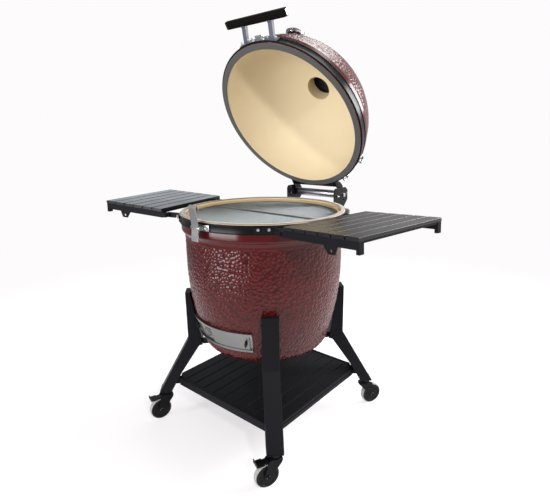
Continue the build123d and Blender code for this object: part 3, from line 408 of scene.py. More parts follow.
def wood_finish(colours):
    """Dark stained wood with long grain, pores and a satin oil."""
    f = Finish("dark_wood", Specular_IOR_Level=0.05)
    long_grain = f.noise(1.0, 6.0, f.stretched((14.0, 210.0, 210.0)))
    pores = f.band(f.noise(1.0, 3.0, f.stretched((60.0, 900.0, 900.0))), 0.60, 0.70)
    body = f.blend(long_grain, tint(colours.wood, 0.45), tint(colours.wood, 2.1))
    body = f.blend(pores * 0.7, body, tint(colours.wood, 0.25))
    height = long_grain * 0.5 - pores
    return f.wear(Base_Color=body, Roughness=0.42 + long_grain * 0.22, Normal=f.bump(height, 0.15 * MM, 0.7))


def moulded_finish(name, colour, roughness):
    """Moulded plastic or rubber with a fine spark texture."""
    f = Finish(name, Specular_IOR_Level=0.15)
    spark = f.noise(1300.0, 3.0)
    cloud = f.noise(24.0, 4.0)
    body = f.blend(cloud, tint(colour, 0.8), tint(colour, 1.2))
    return f.wear(Base_Color=body, Roughness=roughness + spark * 0.15, Normal=f.bump(spark, 0.08 * MM, 0.6))


def black_plastic_finish(colours):
    """Black plastic of the knobs, wheel cores and pedals."""
    return moulded_finish("black_plastic", tint(colours.band, 1.1), 0.34)


def fork_finish(colours):
    """Black dip coat of the caster forks."""
    return coat_finish("fork_coat", tint(colours.band, 0.8), 0.30, 0.06 * MM, 0.10)


def pad_finish(colours):
    """Black rubber pads behind the legs."""
    return moulded_finish("pad_rubber", tint(colours.band, 1.4), 0.68)


def tread_finish(colours):
    """Pale grey wheel rubber, dusty where it has rolled."""
    f = Finish("tread_rubber")
    dust = f.noise(90.0, 5.0)
    spark = f.noise(1100.0, 3.0)
    body = f.blend(f.band(dust, 0.42, 0.66) * 0.5, tuple(colours.tread), tint(colours.tread, 0.62))
    return f.wear(Base_Color=body, Roughness=0.55 + spark * 0.2, Normal=f.bump(spark, 0.10 * MM, 0.6))


def glass_finish(colours):
    """Thin clear window of the thermometer."""
    f = Finish("clear_glass", IOR=1.45, Roughness=0.04, Transmission_Weight=1.0)
    haze = f.noise(20.0, 4.0)
    return f.wear(Base_Color=f.blend(haze, (0.94, 0.96, 0.96), (0.99, 0.99, 0.99)))


def dial_finish(colours):
    """Off-white enamel of the dial."""
    return moulded_finish("dial_enamel", (0.78, 0.77, 0.73), 0.4)


def ink_finish(colours):
    """Printed scale and the needle."""
    return moulded_finish("dial_ink", (0.02, 0.02, 0.02), 0.45)


def floor_finish(colours):
    """Pale studio floor with a barely visible mottle."""
    f = Finish("studio_floor", Specular_IOR_Level=0.1, Emission_Color=(0.56, 0.55, 0.555),
               Emission_Strength=1.0)
    mottle = f.noise(1.4, 4.0)
    body = f.blend(mottle, tuple(colours.floor), tint(colours.floor, 0.985))
    reach = settings()[0].floor
    distance = f.node("ShaderNodeVectorMath", {"operation": "LENGTH"}, {0: f.place}, "Value")
    away = f.band(distance, reach * 0.35, reach * 0.97)
    return f.wear(Base_Color=body, Roughness=0.75 + mottle * 0.1, Alpha=1.0 - away)


FINISH_MAKERS = {
    "glaze": glaze_finish, "cream": cream_finish, "clay": clay_finish, "felt": felt_finish,
    "weave": mesh_finish, "band": band_finish, "powder": powder_finish, "shelf": shelf_lit_copy_finish,
    "post": post_finish, "cast": cast_finish, "brushed": brushed_finish, "wire": wire_finish,
    "bolt": bolt_finish, "turned": turned_finish, "chrome": chrome_finish, "wood": wood_finish,
    "plastic": black_plastic_finish, "fork": fork_finish, "pad": pad_finish, "tread": tread_finish,
    "glass": glass_finish, "dial": dial_finish, "ink": ink_finish, "floor": floor_finish,
}


def paint(finish_name, *nodes, edge=None):
    """Give CAD nodes a finish and, if asked, a small round on their sharp edges."""
    for name in nodes:
        node = frame["nodes"][name]
        node.data.materials.clear()
        node.data.materials.append(finish(finish_name))
        if edge:
            weld = node.modifiers.new("weld", "WELD")
            weld.merge_threshold = 0.01 * MM
            bevel = node.modifiers.new("edge", "BEVEL")
            bevel.width = edge
            bevel.segments = 2
            bevel.limit_method = "ANGLE"
            bevel.angle_limit = math.radians(35)


# ---- mesh helpers ---------------------------------------------------------------------
def arc(start, middle, end, count):
    """Points along the circle through three points, with both ends."""
    (ax, ay), (bx, by), (cx, cy) = start, middle, end
    d = 2 * (ax * (by - cy) + bx * (cy - ay) + cx * (ay - by))
    a2, b2, c2 = ax * ax + ay * ay, bx * bx + by * by, cx * cx + cy * cy
    x = (a2 * (by - cy) + b2 * (cy - ay) + c2 * (ay - by)) / d
    y = (a2 * (cx - bx) + b2 * (ax - cx) + c2 * (bx - ax)) / d
    radius = math.hypot(ax - x, ay - y)
    first, mid, last = [math.atan2(p[1] - y, p[0] - x) for p in (start, middle, end)]
    turn = (last - first) % math.tau
    if (mid - first) % math.tau > turn:
        turn -= math.tau
    angles = [first + turn * i / count for i in range(count + 1)]
    return [(x + radius * math.cos(t), y + radius * math.sin(t)) for t in angles]


def rounded(corners, steps=4):
    """Closed outline of (x, y, round) corners, with an arc at each corner that has a round."""
    points = []
    for i, (x, y, radius) in enumerate(corners):
        here = Vector((x, y))
        before = (Vector(corners[i - 1][:2]) - here).normalized()
        after = (Vector(corners[(i + 1) % len(corners)][:2]) - here).normalized()
        if radius <= 0:
            points.append((x, y))
            continue
        half = before.angle(after) / 2
        reach = radius / math.tan(half)
        centre = here + (before + after).normalized() * radius / math.sin(half)
        a = here + before * reach
        b = here + after * reach
        m = centre + (here - centre).normalized() * radius
        points += arc(tuple(a), tuple(m), tuple(b), steps)
    return points


def lathe(outline, steps, start=0.0, turn=math.tau, closed=True):
    """Points, quads and UVs (in metres) of an outline of (radius, height) turned about Z."""
    profile = np.array(outline, float)
    rows = len(profile)
    whole = abs(turn - math.tau) < 1e-9
    columns = steps if whole else steps + 1
    angles = start + turn * np.arange(columns) / steps
    r, z = profile[:, 0][:, None], profile[:, 1][:, None]
    points = np.stack([r * np.cos(angles), r * np.sin(angles), z + 0 * angles], axis=-1).reshape(-1, 3)
    lengths = np.r_[0, np.cumsum(np.hypot(*np.diff(profile, axis=0).T))]
    mean = profile[:, 0].mean()
    quads, uvs = [], []
    for i in range(rows if closed else rows - 1):
        k = (i + 1) % rows
        top = lengths[k] if k else lengths[-1] + math.dist(profile[-1], profile[0])
        for j in range(steps):
            m = (j + 1) % columns
            quads.append((i * columns + j, i * columns + m, k * columns + m, k * columns + j))
            u0, u1 = turn * j / steps * mean, turn * (j + 1) / steps * mean
            uvs += [(u0, lengths[i]), (u1, lengths[i]), (u1, top), (u0, top)]
    return points, quads, uvs


def make_mesh(name, points, faces, uvs=None, sharp=35.0):
    """Mesh object with smooth faces, sharp where it bends by more than an angle in degrees."""
    mesh = bpy.data.meshes.new(name)
    mesh.from_pydata([tuple(p) for p in points], [], faces)
    if uvs:
        layer = mesh.uv_layers.new(name="UVMap")
        layer.data.foreach_set("uv", np.array(uvs, np.float32).ravel())
    bm = bmesh.new()
    bm.from_mesh(mesh)
    bmesh.ops.remove_doubles(bm, verts=bm.verts, dist=1e-6)
    bmesh.ops.recalc_face_normals(bm, faces=bm.faces)
    bm.to_mesh(mesh)
    bm.free()
    mesh.shade_smooth()
    mesh.set_sharp_from_angle(angle=math.radians(sharp))
    piece = bpy.data.objects.new(name, mesh)
    bpy.context.scene.collection.objects.link(piece)
    return piece


def settle(piece, finish_name, body, stands_for=(), place=None):
    """Put a piece in place, give it its finish and let it ride on its body."""
    if place is not None:
        piece.data.transform(place)
    if finish_name:
        piece.data.materials.append(finish(finish_name))
    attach(piece, body)
    if stands_for:
        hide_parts(*stands_for)
    return piece


def turned_piece(name, outline, finish_name, body, stands_for=(), place=None, steps=ROUND):
    """A ring of a closed outline, turned about Z and put in place."""
    piece = make_mesh(name, *lathe(outline, steps))
    return settle(piece, finish_name, body, stands_for, place)


def joined(pieces, name):
    """Points and faces of several (points, faces) sets in one mesh."""
    points, faces = [], []
    for part_points, part_faces in pieces:
        base = len(points)
        points += [tuple(p) for p in part_points]
        faces += [tuple(base + i for i in face) for face in part_faces]
    return make_mesh(name, points, faces)


def plate(outline, low, high):
    """Points and faces of a closed outline in XY, between two heights."""
    count = len(outline)
    points = [(x, y, low) for x, y in outline] + [(x, y, high) for x, y in outline]
    faces = [tuple(reversed(range(count))), tuple(range(count, 2 * count))]
    faces += [(i, (i + 1) % count, (i + 1) % count + count, i + count) for i in range(count)]
    return points, faces


def ring_points(radius, count, phase=0.0):
    """Corners of a regular polygon."""
    angles = [phase + math.tau * i / count for i in range(count)]
    return [(radius * math.cos(t), radius * math.sin(t)) for t in angles]


# ---- glazed bowl and lid --------------------------------------------------------------
def barrel_radius(z):
    """Radius of the barrel's outside at a height."""
    if z >= BARREL_Z:
        return BARREL_R
    return BARREL_R - BARREL_ARC + math.sqrt(BARREL_ARC ** 2 - (BARREL_Z - z) ** 2)


def evenly(start, end, step):
    """Numbers from start to just before end, about a step apart."""
    count = max(1, round(abs(end - start) / step))
    return [start + (end - start) * i / count for i in range(count)]


def bowl_outline(step):
    """Outline of the bowl from the middle of its base, up outside and down inside."""
    foot_z = BASE_Z + FOOT_H
    foot_r = barrel_radius(foot_z)
    base_r = foot_r - FOOT_H * 1.05
    radius = ((foot_r - base_r) ** 2 + FOOT_H ** 2) / (2 * FOOT_H)
    last = math.atan2(FOOT_H - radius, foot_r - base_r)
    top = RIM_Z + 2 * MM
    inner = CERAMIC_R - 16.7 * MM
    outline = [(r, BASE_Z) for r in evenly(0.0, base_r, 0.02)]
    for t in evenly(-math.pi / 2, last, step / radius):
        outline.append((base_r + radius * math.cos(t), BASE_Z + radius + radius * math.sin(t)))
    outline += [(barrel_radius(z), z) for z in evenly(foot_z, STEP_Z, step)]
    outline += arc((BARREL_R, STEP_Z), (BARREL_R + 1.6 * MM, STEP_Z + 7 * MM),
                   (CERAMIC_R - 6 * MM, LIP_Z), 6)
    outline += arc((CERAMIC_R - 6 * MM, LIP_Z), (CERAMIC_R - 1.2 * MM, LIP_Z + 4.5 * MM),
                   (CERAMIC_R, LIP_Z + 11 * MM), 7)[1:]
    outline += arc((CERAMIC_R, top - 2 * MM), (CERAMIC_R - 0.6 * MM, top - 0.6 * MM),
                   (CERAMIC_R - 2 * MM, top), 3)
    outline += arc((inner + 3 * MM, top), (inner + 0.9 * MM, top - 0.9 * MM), (inner, top - 3 * MM), 3)
    ledge, wall = RIM_Z - 34 * MM, 25 * MM
    outline += [(inner, ledge), (BARREL_R - wall, ledge - 30 * MM)]
    outline += [(barrel_radius(z) - wall, z) for z in evenly(ledge - 0.05, 0.43, 0.02)]
    outline += [(0.225, 0.393), (0.190, FLOOR_Z), (0.09, FLOOR_Z), (0.0, FLOOR_Z)]
    return outline


def emboss(piece, inside, fades, cell, depth):
    """Press the pebble pattern into the glazed side of a piece, and keep it as 'relief'."""
    mesh = piece.data
    count = len(mesh.vertices)
    places = np.empty(count * 3, np.float32)
    normals = np.empty(count * 3, np.float32)
    mesh.vertices.foreach_get("co", places)
    mesh.vertices.foreach_get("normal", normals)
    places, normals = places.reshape(-1, 3), normals.reshape(-1, 3)
    relief = np.full(count, PLAIN_RELIEF, np.float32)
    for i in np.nonzero(~inside(places))[0]:
        spot = Vector(places[i]) / cell
        near, next_near = noise.voronoi(spot)[0][:2]
        groove = min(1.0, (next_near - near) / 0.45)
        height = 0.7 * groove * (2 - groove) + 0.3 * max(0.0, 1 - near * near * 2)
        height += 0.05 * noise.noise(spot * 2.3)
        fade = fades(places[i])
        relief[i] = height * fade + PLAIN_RELIEF * (1 - fade)
        places[i] += normals[i] * depth * fade * (height - 1.0)
    mesh.vertices.foreach_set("co", places.ravel())
    attribute = mesh.attributes.new("relief", "FLOAT", "POINT")
    attribute.data.foreach_set("value", relief)
    mesh.update()


def ramp(value, low, high):
    """Smooth step between two values."""
    t = min(1.0, max(0.0, (value - low) / (high - low)))
    return t * t * (3 - 2 * t)


def cut(piece, tool):
    """Take a tool's shape out of a piece."""
    modifier = piece.modifiers.new("cut", "BOOLEAN")
    modifier.object = tool
    modifier.operation = "DIFFERENCE"
    modifier.solver = "EXACT"
    bpy.context.view_layer.update()
    result = bpy.data.meshes.new_from_object(piece.evaluated_get(bpy.context.evaluated_depsgraph_get()))
    piece.modifiers.clear()
    piece.data = result
    bpy.data.objects.remove(tool)


def draft_cutter():
    """Wedge of the draft opening, through the front of the bowl."""
    start, turn = math.radians(-90 - 28), math.radians(25)
    block = [(0.19, 0.424), (0.33, 0.424), (0.33, 0.476), (0.19, 0.476)]
    points, quads, _ = lathe(block, 16, start, turn)
    quads += [(0, 17, 34, 51), (16, 67, 50, 33)]
    return make_mesh("draft_cutter", points, quads)


def build_bowl(sizes):
    """Glazed bowl with a pebbled barrel and a smooth lip."""
    steps = round(math.tau * BARREL_R / sizes.mesh_step)
    piece = make_mesh("bowl_glazed", *lathe(bowl_outline(sizes.mesh_step), steps, closed=False), sharp=60.0)

    def inside(p):
        level = np.hypot(p[:, 0], p[:, 1])
        wall = np.array([barrel_radius(z) for z in np.minimum(p[:, 2], BARREL_Z)])
        return (level < wall - 15 * MM) & (p[:, 2] > BASE_Z + 10 * MM) | (p[:, 2] > STEP_Z)

    def fades(p):
        base = ramp(math.hypot(p[0], p[1]), 0.19, 0.212)
        return base * (1 - ramp(p[2], STEP_Z - 14 * MM, STEP_Z - 2 * MM))

    emboss(piece, inside, fades, sizes.pebble, sizes.relief)
    piece.data.materials.append(finish("glaze"))
    piece.data.materials.append(finish("cream"))
    for face in piece.data.polygons:
        x, y, z = face.center
        level = math.hypot(x, y)
        wall = barrel_radius(min(z, BARREL_Z)) if z < STEP_Z else CERAMIC_R
        bare = level < wall - 14 * MM and z > BASE_Z + 10 * MM or z > RIM_Z + 1.2 * MM
        face.material_index = int(bare)
    cutter = draft_cutter()
    cutter.data.materials.append(finish("glaze"))
    cutter.data.materials.append(finish("cream"))
    for face in cutter.data.polygons:
        face.material_index = 1
    cut(piece, cutter)
    settle(piece, None, "cart", ["bowl"])


def dome_outline(step):
    """Outline of the closed lid: outside from the rim up to the chimney, then back down inside."""
    collar_r, collar_z = CHIMNEY_R + 17 * MM, LID_Z + DOME_LIFT + DOME_H + 14 * MM
    inner_r, inner_h = CERAMIC_R - 25 * MM, 0.250
    outline = arc((CERAMIC_R - 1.5 * MM, LID_Z), (CERAMIC_R - 0.4 * MM, LID_Z + 0.5 * MM),
                  (CERAMIC_R, LID_Z + 2 * MM), 3)
    outline += arc((CERAMIC_R, LIP_TOP - 5 * MM), (CERAMIC_R - 1.4 * MM, LIP_TOP - 1.2 * MM),
                   (CERAMIC_R - 4 * MM, LIP_TOP), 5)
    first, last = math.radians(9.0), math.radians(77.2)
    for t in evenly(first, last, step / DOME_R) + [last]:
        outline.append((DOME_R * math.cos(t), LID_Z + DOME_LIFT + DOME_H * math.sin(t)))
    outline += [(collar_r, outline[-1][1] + 5 * MM)]
    outline += arc((collar_r, collar_z - 4 * MM), (collar_r - 1.2 * MM, collar_z - 1.2 * MM),
                   (collar_r - 4 * MM, collar_z), 3)
    outline += [(CHIMNEY_R, collar_z)]
    top = math.acos(CHIMNEY_R / inner_r)
    edge = outline[-1][1] - (LID_Z + inner_h * math.sin(top))
    outline += [(CHIMNEY_R, collar_z - edge * k / 4) for k in (1, 2, 3)]
    for t in evenly(top, 0.0, 0.035):
        outline.append((inner_r * math.cos(t), LID_Z + inner_h * math.sin(t)))
    outline += arc((inner_r, LID_Z + 2 * MM), (inner_r + 0.6 * MM, LID_Z + 0.6 * MM),
                   (inner_r + 2 * MM, LID_Z), 3)
    return outline


def build_dome(sizes):
    """Glazed lid: pebbled outside, smooth lip, and a cream inside with the chimney bore."""
    steps = round(math.tau * DOME_R / sizes.mesh_step)
    piece = make_mesh("lid_glazed", *lathe(dome_outline(sizes.mesh_step), steps), sharp=50.0)

    def inside(p):
        level = np.hypot(p[:, 0], p[:, 1])
        across = (level / DOME_R) ** 2 + ((p[:, 2] - LID_Z - DOME_LIFT) / DOME_H) ** 2
        return (across < 0.97) | (p[:, 2] < LIP_TOP) | (level < CHIMNEY_R + 18 * MM)

    def fades(p):
        rim = ramp(p[2], LIP_TOP + 2 * MM, LIP_TOP + 16 * MM)
        return rim * ramp(math.hypot(p[0], p[1]), CHIMNEY_R + 22 * MM, CHIMNEY_R + 34 * MM)

    emboss(piece, inside, fades, sizes.pebble, sizes.relief)
    mesh = piece.data
    mesh.materials.append(finish("glaze"))
    mesh.materials.append(finish("cream"))
    collar_r = CHIMNEY_R + 14 * MM
    for face in mesh.polygons:
        x, y, z = face.center
        level = math.hypot(x, y)
        across = (level / (CERAMIC_R - 17 * MM)) ** 2 + (max(0.0, z - LID_Z - 4 * MM) / DOME_H) ** 2
        bore = level < collar_r - 8 * MM
        lip = z < LID_Z + 0.2 * MM and level < CERAMIC_R - 3 * MM
        face.material_index = int(across < 1.0 and level < CERAMIC_R - 3 * MM or bore or lip)
    settle(piece, None, "lid", ["lid_dome"], LIFT)


# ---- rings, gaskets and fire clay -----------------------------------------------------
def build_bands():
    """Steel bands with a rolled bead along both edges."""
    outer, bead, wall = BAND_R, 2 * MM, 3 * MM
    for name, body, low, place in (("bowl_band", "cart", RIM_Z - BAND_H, FLAT),
                                   ("lid_band", "lid", LID_Z + 1 * MM, LIFT)):
        high = low + BAND_H
        flat, height = outer - bead, 3.6 * MM
        outline = rounded([
            (flat - wall, low, 0.4 * MM), (outer, low, 1.5 * MM), (outer, low + height, 1.2 * MM),
            (flat, low + height, 0.5 * MM), (flat, high - height, 0.5 * MM),
            (outer, high - height, 1.2 * MM), (outer, high, 1.5 * MM), (flat - wall, high, 0.4 * MM),
        ])
        turned_piece(name + "_rolled", outline, "band", body, [name], place)
    for name in ("hinge_lower_bracket", "hinge_upper_bracket"):
        paint("band", name, edge=settings()[0].edge)
    paint("bolt", "band_fasteners", "lid_fasteners")


def ruffle(piece, amount, scale):
    """Move the points of a soft ring a little up and down."""
    for vertex in piece.data.vertices:
        vertex.co.z += amount * noise.noise(vertex.co * scale)


def build_gaskets():
    """Felt ring on the bowl, and the woven ring of the lid with its overlap."""
    inner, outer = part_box("bowl_gasket")
    r0 = CERAMIC_R - 15.4 * MM
    low, high = inner.z + 0.2 * MM, outer.z - 0.3 * MM
    outline = rounded([(r0, low, 0.8 * MM), (outer.x, low, 0.8 * MM),
                       (outer.x, high, 1.4 * MM), (r0, high, 1.4 * MM)])
    felt = make_mesh("bowl_gasket_felt", *lathe(outline, FINE_ROUND))
    ruffle(felt, 0.25 * MM, 60.0)
    settle(felt, "felt", "cart", ["bowl_gasket"])
    r0, r1 = CERAMIC_R - 23 * MM, CERAMIC_R - 1 * MM
    low, high = LID_Z - 3.4 * MM, LID_Z - 0.4 * MM
    outline = rounded([(r0, low, 1.3 * MM), (r1, low, 1.3 * MM), (r1, high, 0.8 * MM), (r0, high, 0.8 * MM)])
    weave = make_mesh("lid_gasket_weave", *lathe(outline, FINE_ROUND))
    ruffle(weave, 0.2 * MM, 45.0)
    for vertex in weave.data.vertices:
        angle = math.degrees(math.atan2(vertex.co.x, vertex.co.y))
        if 3.2 < abs(angle - 6.0) < 3.8:
            vertex.co.z += 0.9 * MM if vertex.co.z < (low + high) / 2 else 0.0
    settle(weave, "weave", "lid", ["lid_gasket"], LIFT)


def build_fire_clay():
    """Fire ring with a rounded shoulder, and the fire box below it."""
    outer, low = CERAMIC_R - 18.2 * MM, BARREL_R - 26.5 * MM
    bottom, top, ledge = 0.691, RIM_Z - 3 * MM, RIM_Z - 34 * MM
    seat_z, seat_r, inner, foot = RIM_Z - 17 * MM, 0.2855, 0.270, 0.256
    outline = rounded([
        (foot, bottom, 2 * MM), (low, bottom, 2 * MM), (low, ledge - 30 * MM, 6 * MM), (outer, ledge, 6 * MM),
        (outer, top, 4 * MM), (seat_r, top, 4 * MM), (seat_r, seat_z, 0.6 * MM), (inner, seat_z, 2.5 * MM),
    ], 6)
    ring = make_mesh("fire_ring_clay", *lathe(outline, ROUND))
    ruffle(ring, 0.25 * MM, 30.0)
    settle(ring, "clay", "cart", ["fire_ring"])
    paint("clay", "fire_box", edge=1.5 * MM)


# ---- grates, draft doors, latch, handle -----------------------------------------------
def build_grates():
    """Stainless cooking grates over the cast charcoal grate."""
    paint("wire", "cooking_grate_front", "cooking_grate_back")
    paint("cast", "charcoal_grate", edge=1.0 * MM)


def build_draft_doors():
    """Brushed frame, sliding doors, knobs and corner screws."""
    paint("brushed", "draft_frame", "draft_door_solid", "draft_door_slotted")
    paint("plastic", "draft_knob_solid", "draft_knob_slotted", edge=1.2 * MM)
    paint("bolt", "draft_screws", edge=0.3 * MM)


def build_hinge():
    """Pin and turned barrel between the brackets."""
    paint("bolt", "hinge_pin", edge=0.4 * MM)
    paint("turned", "hinge_barrel", edge=1.0 * MM)


def build_latch():
    """Steel latch, its base and its strike."""
    paint("bolt", "latch_base", "latch_hook", "latch_strike", edge=0.35 * MM)


def build_handle():
    """Dark wooden grip on two posts, with metal end caps."""
    paint("wood", "handle_bar", edge=1.4 * MM)
    paint("bolt", "handle_caps", edge=0.4 * MM)
    paint("post", "handle_posts", edge=0.8 * MM)


# ---- thermometer ----------------------------------------------------------------------
def thermometer_place():
    """Frame on the dome's front with Z along the thermometer's stem."""
    angle = math.radians(43.0)
    spot = Vector((0.0, -DOME_R * math.cos(angle), LID_Z + DOME_LIFT + DOME_H * math.sin(angle)))
    out = Vector((0.0, -math.cos(angle) / DOME_R, math.sin(angle) / DOME_H)).normalized()
    across = Vector((1.0, 0.0, 0.0))
    up = out.cross(across)
    turn = Matrix((across, up, out)).transposed().to_4x4()
    return LIFT @ Matrix.Translation(spot) @ turn


def build_thermometer():
    """Round case with a bezel, a stem nut, a dial with a scale and needle, and a window."""
    place = thermometer_place()
    back, front, radius = 16 * MM, 32 * MM, 37 * MM
    case = rounded([
        (4 * MM, back, 0.2 * MM), (radius - 4 * MM, back, 2 * MM), (radius - 1 * MM, back + 4 * MM, 2 * MM),
        (radius - 1 * MM, front - 5 * MM, 0.8 * MM), (radius, front - 4 * MM, 0.8 * MM),
        (radius, front - 0.2 * MM, 1.6 * MM), (radius - 3 * MM, front, 1.0 * MM),
        (radius - 3 * MM, front - 5 * MM, 0.3 * MM), (4 * MM, front - 5 * MM, 0.2 * MM),
    ])
    turned_piece("thermometer_bezel", case, "chrome", "lid", ["thermometer_case"], place, 96)
    stem = [(0.0, -43 * MM)] + arc((2.4 * MM, -43 * MM), (3.2 * MM, -42.5 * MM), (3.5 * MM, -41 * MM), 4)
    stem += [(3.5 * MM, 0.4 * MM), (9.0 * MM, 0.4 * MM), (9.5 * MM, 1.0 * MM), (9.5 * MM, 2.0 * MM)]
    stem += [(5 * MM, 2.2 * MM), (5 * MM, back + 1 * MM), (0.0, back + 1 * MM)]
    rod = make_mesh("thermometer_stem", *lathe(stem, 32, closed=False))
    settle(rod, "bolt", "lid", (), place)
    nut = joined([plate(ring_points(10 * MM, 6), 2.4 * MM, back - 2 * MM)], "thermometer_nut")
    bevel = nut.modifiers.new("edge", "BEVEL")
    bevel.width, bevel.segments = 0.7 * MM, 2
    settle(nut, "bolt", "lid", (), place)
    face, reach = front - 4.6 * MM, radius - 3.4 * MM
    disc = [(0.0, face - 0.3 * MM), (reach, face - 0.3 * MM), (reach, face), (0.0, face)]
    dial = make_mesh("thermometer_dial", *lathe(disc, 64, closed=False))
    settle(dial, "dial", "lid", (), place)
    marks = []
    for i in range(31):
        angle = math.radians(240 - i * 10)
        length, half = (5.0 * MM, 0.45 * MM) if i % 5 == 0 else (2.8 * MM, 0.25 * MM)
        turn = Matrix.Rotation(angle - math.pi / 2, 3, "Z")
        low, high = 28.5 * MM - length, 28.5 * MM
        corners = [(-half, low), (half, low), (half, high), (-half, high)]
        points, faces = plate(corners, face + 0.02 * MM, face + 0.12 * MM)
        marks.append(([turn @ Vector(p) for p in points], faces))
    needle = [(-1.3 * MM, -7 * MM), (1.3 * MM, -7 * MM), (1.0 * MM, 0.0), (0.25 * MM, 24 * MM),
              (-0.25 * MM, 24 * MM), (-1.0 * MM, 0.0)]
    turn = Matrix.Rotation(math.radians(140), 3, "Z")
    points, faces = plate(needle, face + 0.6 * MM, face + 1.0 * MM)
    marks.append(([turn @ Vector(p) for p in points], faces))
    marks.append(plate(ring_points(2.6 * MM, 20), face, face + 1.3 * MM))
    settle(joined(marks, "thermometer_scale"), "ink", "lid", (), place)
    paint("glass", "thermometer_glass")


# ---- vent -----------------------------------------------------------------------------
def build_vent():
    """Cast collar and turning cap of the chimney."""
    paint("cast", "vent_base", "vent_cap", edge=1.0 * MM)


# ---- shelves and cart -----------------------------------------------------------------
def build_side_shelves(sizes):
    """Slats, frames and brackets of both side shelves."""
    for side in ("right", "left"):
        paint("shelf", "shelf_slats_" + side)
        paint("powder", "shelf_frame_" + side, "shelf_brackets_" + side, edge=sizes.edge)


CORNERS = ("front_right", "front_left", "back_right", "back_left")


def build_cart(sizes):
    """Legs, cradle, pads, lower shelf and their bolts."""
    paint("powder", *["leg_" + corner for corner in CORNERS])
    paint("powder", "bowl_cradle", "tray_frame", edge=sizes.edge)
    paint("powder", "tray_slats")
    paint("pad", "leg_pads", edge=1.0 * MM)
    paint("bolt", "cart_bolts")


# ---- casters --------------------------------------------------------------------------
def wheel_place(corner):
    """Frame with Z along a wheel's axle and its origin at the wheel's middle."""
    joint = JOINTS["roll_" + corner]
    axle = Vector(joint["axis"])
    return Matrix.Translation(joint["pos_m"]) @ axle.to_track_quat("Z", "Y").to_matrix().to_4x4()


def wheel_core():
    """Moulded core that covers both sides of the wheel: hub, ribbed web and raised rim."""
    half, rim, web = 12 * MM, 41.5 * MM, 8.5 * MM
    outline = rounded([
        (4.05 * MM, -half, 0.4 * MM), (10 * MM, -half, 1.0 * MM), (12 * MM, -web, 1.2 * MM),
        (rim - 9 * MM, -web, 1.5 * MM), (rim - 7.5 * MM, -half + 0.4 * MM, 1.0 * MM),
        (rim - 1.2 * MM, -half + 0.4 * MM, 0.8 * MM), (rim, -half + 2.2 * MM, 0.5 * MM),
        (rim, half - 2.2 * MM, 0.5 * MM), (rim - 1.2 * MM, half - 0.4 * MM, 0.8 * MM),
        (rim - 7.5 * MM, half - 0.4 * MM, 1.0 * MM), (rim - 9 * MM, web, 1.5 * MM),
        (12 * MM, web, 1.2 * MM), (10 * MM, half, 1.0 * MM), (4.05 * MM, half, 0.4 * MM),
    ])
    points, quads, _ = lathe(outline, 72)
    parts = [(points, quads)]
    for i in range(10):
        turn = Matrix.Rotation(math.tau * i / 10, 3, "Z")
        reach = rim - 8.8 * MM
        rib = [(11.2 * MM, -1.2 * MM), (reach, -1.2 * MM), (reach, 1.2 * MM), (11.2 * MM, 1.2 * MM)]
        for low, high in ((-web - 1.2 * MM, -web + 0.5 * MM), (web - 0.5 * MM, web + 1.2 * MM)):
            corners, faces = plate(rib, low, high)
            parts.append(([turn @ Vector(p) for p in corners], faces))
    return joined(parts, "wheel_core")


def tread_outline():
    """Crowned band of rubber with soft shoulders."""
    half, rim, radius = 9.5 * MM, 41.2 * MM, 45 * MM
    outline = [(rim, -half), (radius - 2.4 * MM, -half)]
    outline += arc((radius - 2.2 * MM, -half), (radius - 0.8 * MM, -half + 1.2 * MM),
                   (radius - 0.2 * MM, -half + 4 * MM), 5)
    outline += [(radius, 0.0)]
    outline += arc((radius - 0.2 * MM, half - 4 * MM), (radius - 0.8 * MM, half - 1.2 * MM),
                   (radius - 2.2 * MM, half), 5)
    outline += [(radius - 2.4 * MM, half), (rim, half)]
    return outline


def axle_heads(corner, place):
    """Domed heads on both ends of an axle bolt."""
    face = 17.4 * MM
    cap = [(0.0, face), (7.2 * MM, face), (7.2 * MM, face + 0.9 * MM), (5.6 * MM, face + 1.0 * MM)]
    cap += arc((5.2 * MM, face + 1.2 * MM), (3.9 * MM, face + 3.2 * MM), (0.0, face + 4.2 * MM), 7)
    points, quads, _ = lathe(cap, 40, closed=False)
    parts = [(points, quads), ([(x, -y, -z) for x, y, z in points], quads)]
    settle(joined(parts, "axle_heads_" + corner), "bolt", "caster_" + corner, (), place)


def build_casters():
    """Treads and cores in their forks, with the brake pedals of the front pair."""
    for corner in CORNERS:
        place = wheel_place(corner)
        core = wheel_core()
        core.name = "wheel_core_" + corner
        settle(core, "plastic", "wheel_" + corner, ["wheel_" + corner], place)
        turned_piece("wheel_tread_" + corner, tread_outline(), "tread", "wheel_" + corner,
                     ["wheel_" + corner], place, 96)
        paint("fork", "caster_fork_" + corner, edge=0.5 * MM)
        axle_heads(corner, place)
    paint("fork", "caster_mounts", edge=0.5 * MM)
    for corner in CORNERS[:2]:
        paint("plastic", "brake_pedal_" + corner, edge=0.8 * MM)


# ---- stage ----------------------------------------------------------------------------
CAMERA_AT = Vector((1.1450, -1.2611, 1.1693))
CAMERA_ANGLES = 42.239, -14.837, 1.448, -0.942      # azimuth, pitch, yaw and roll
CAMERA_LENS = 28.97


def turned_pair(first, second, angle):
    """Two square directions after a turn from the first towards the second."""
    cosine, sine = math.cos(angle), math.sin(angle)
    return first * cosine + second * sine, second * cosine - first * sine


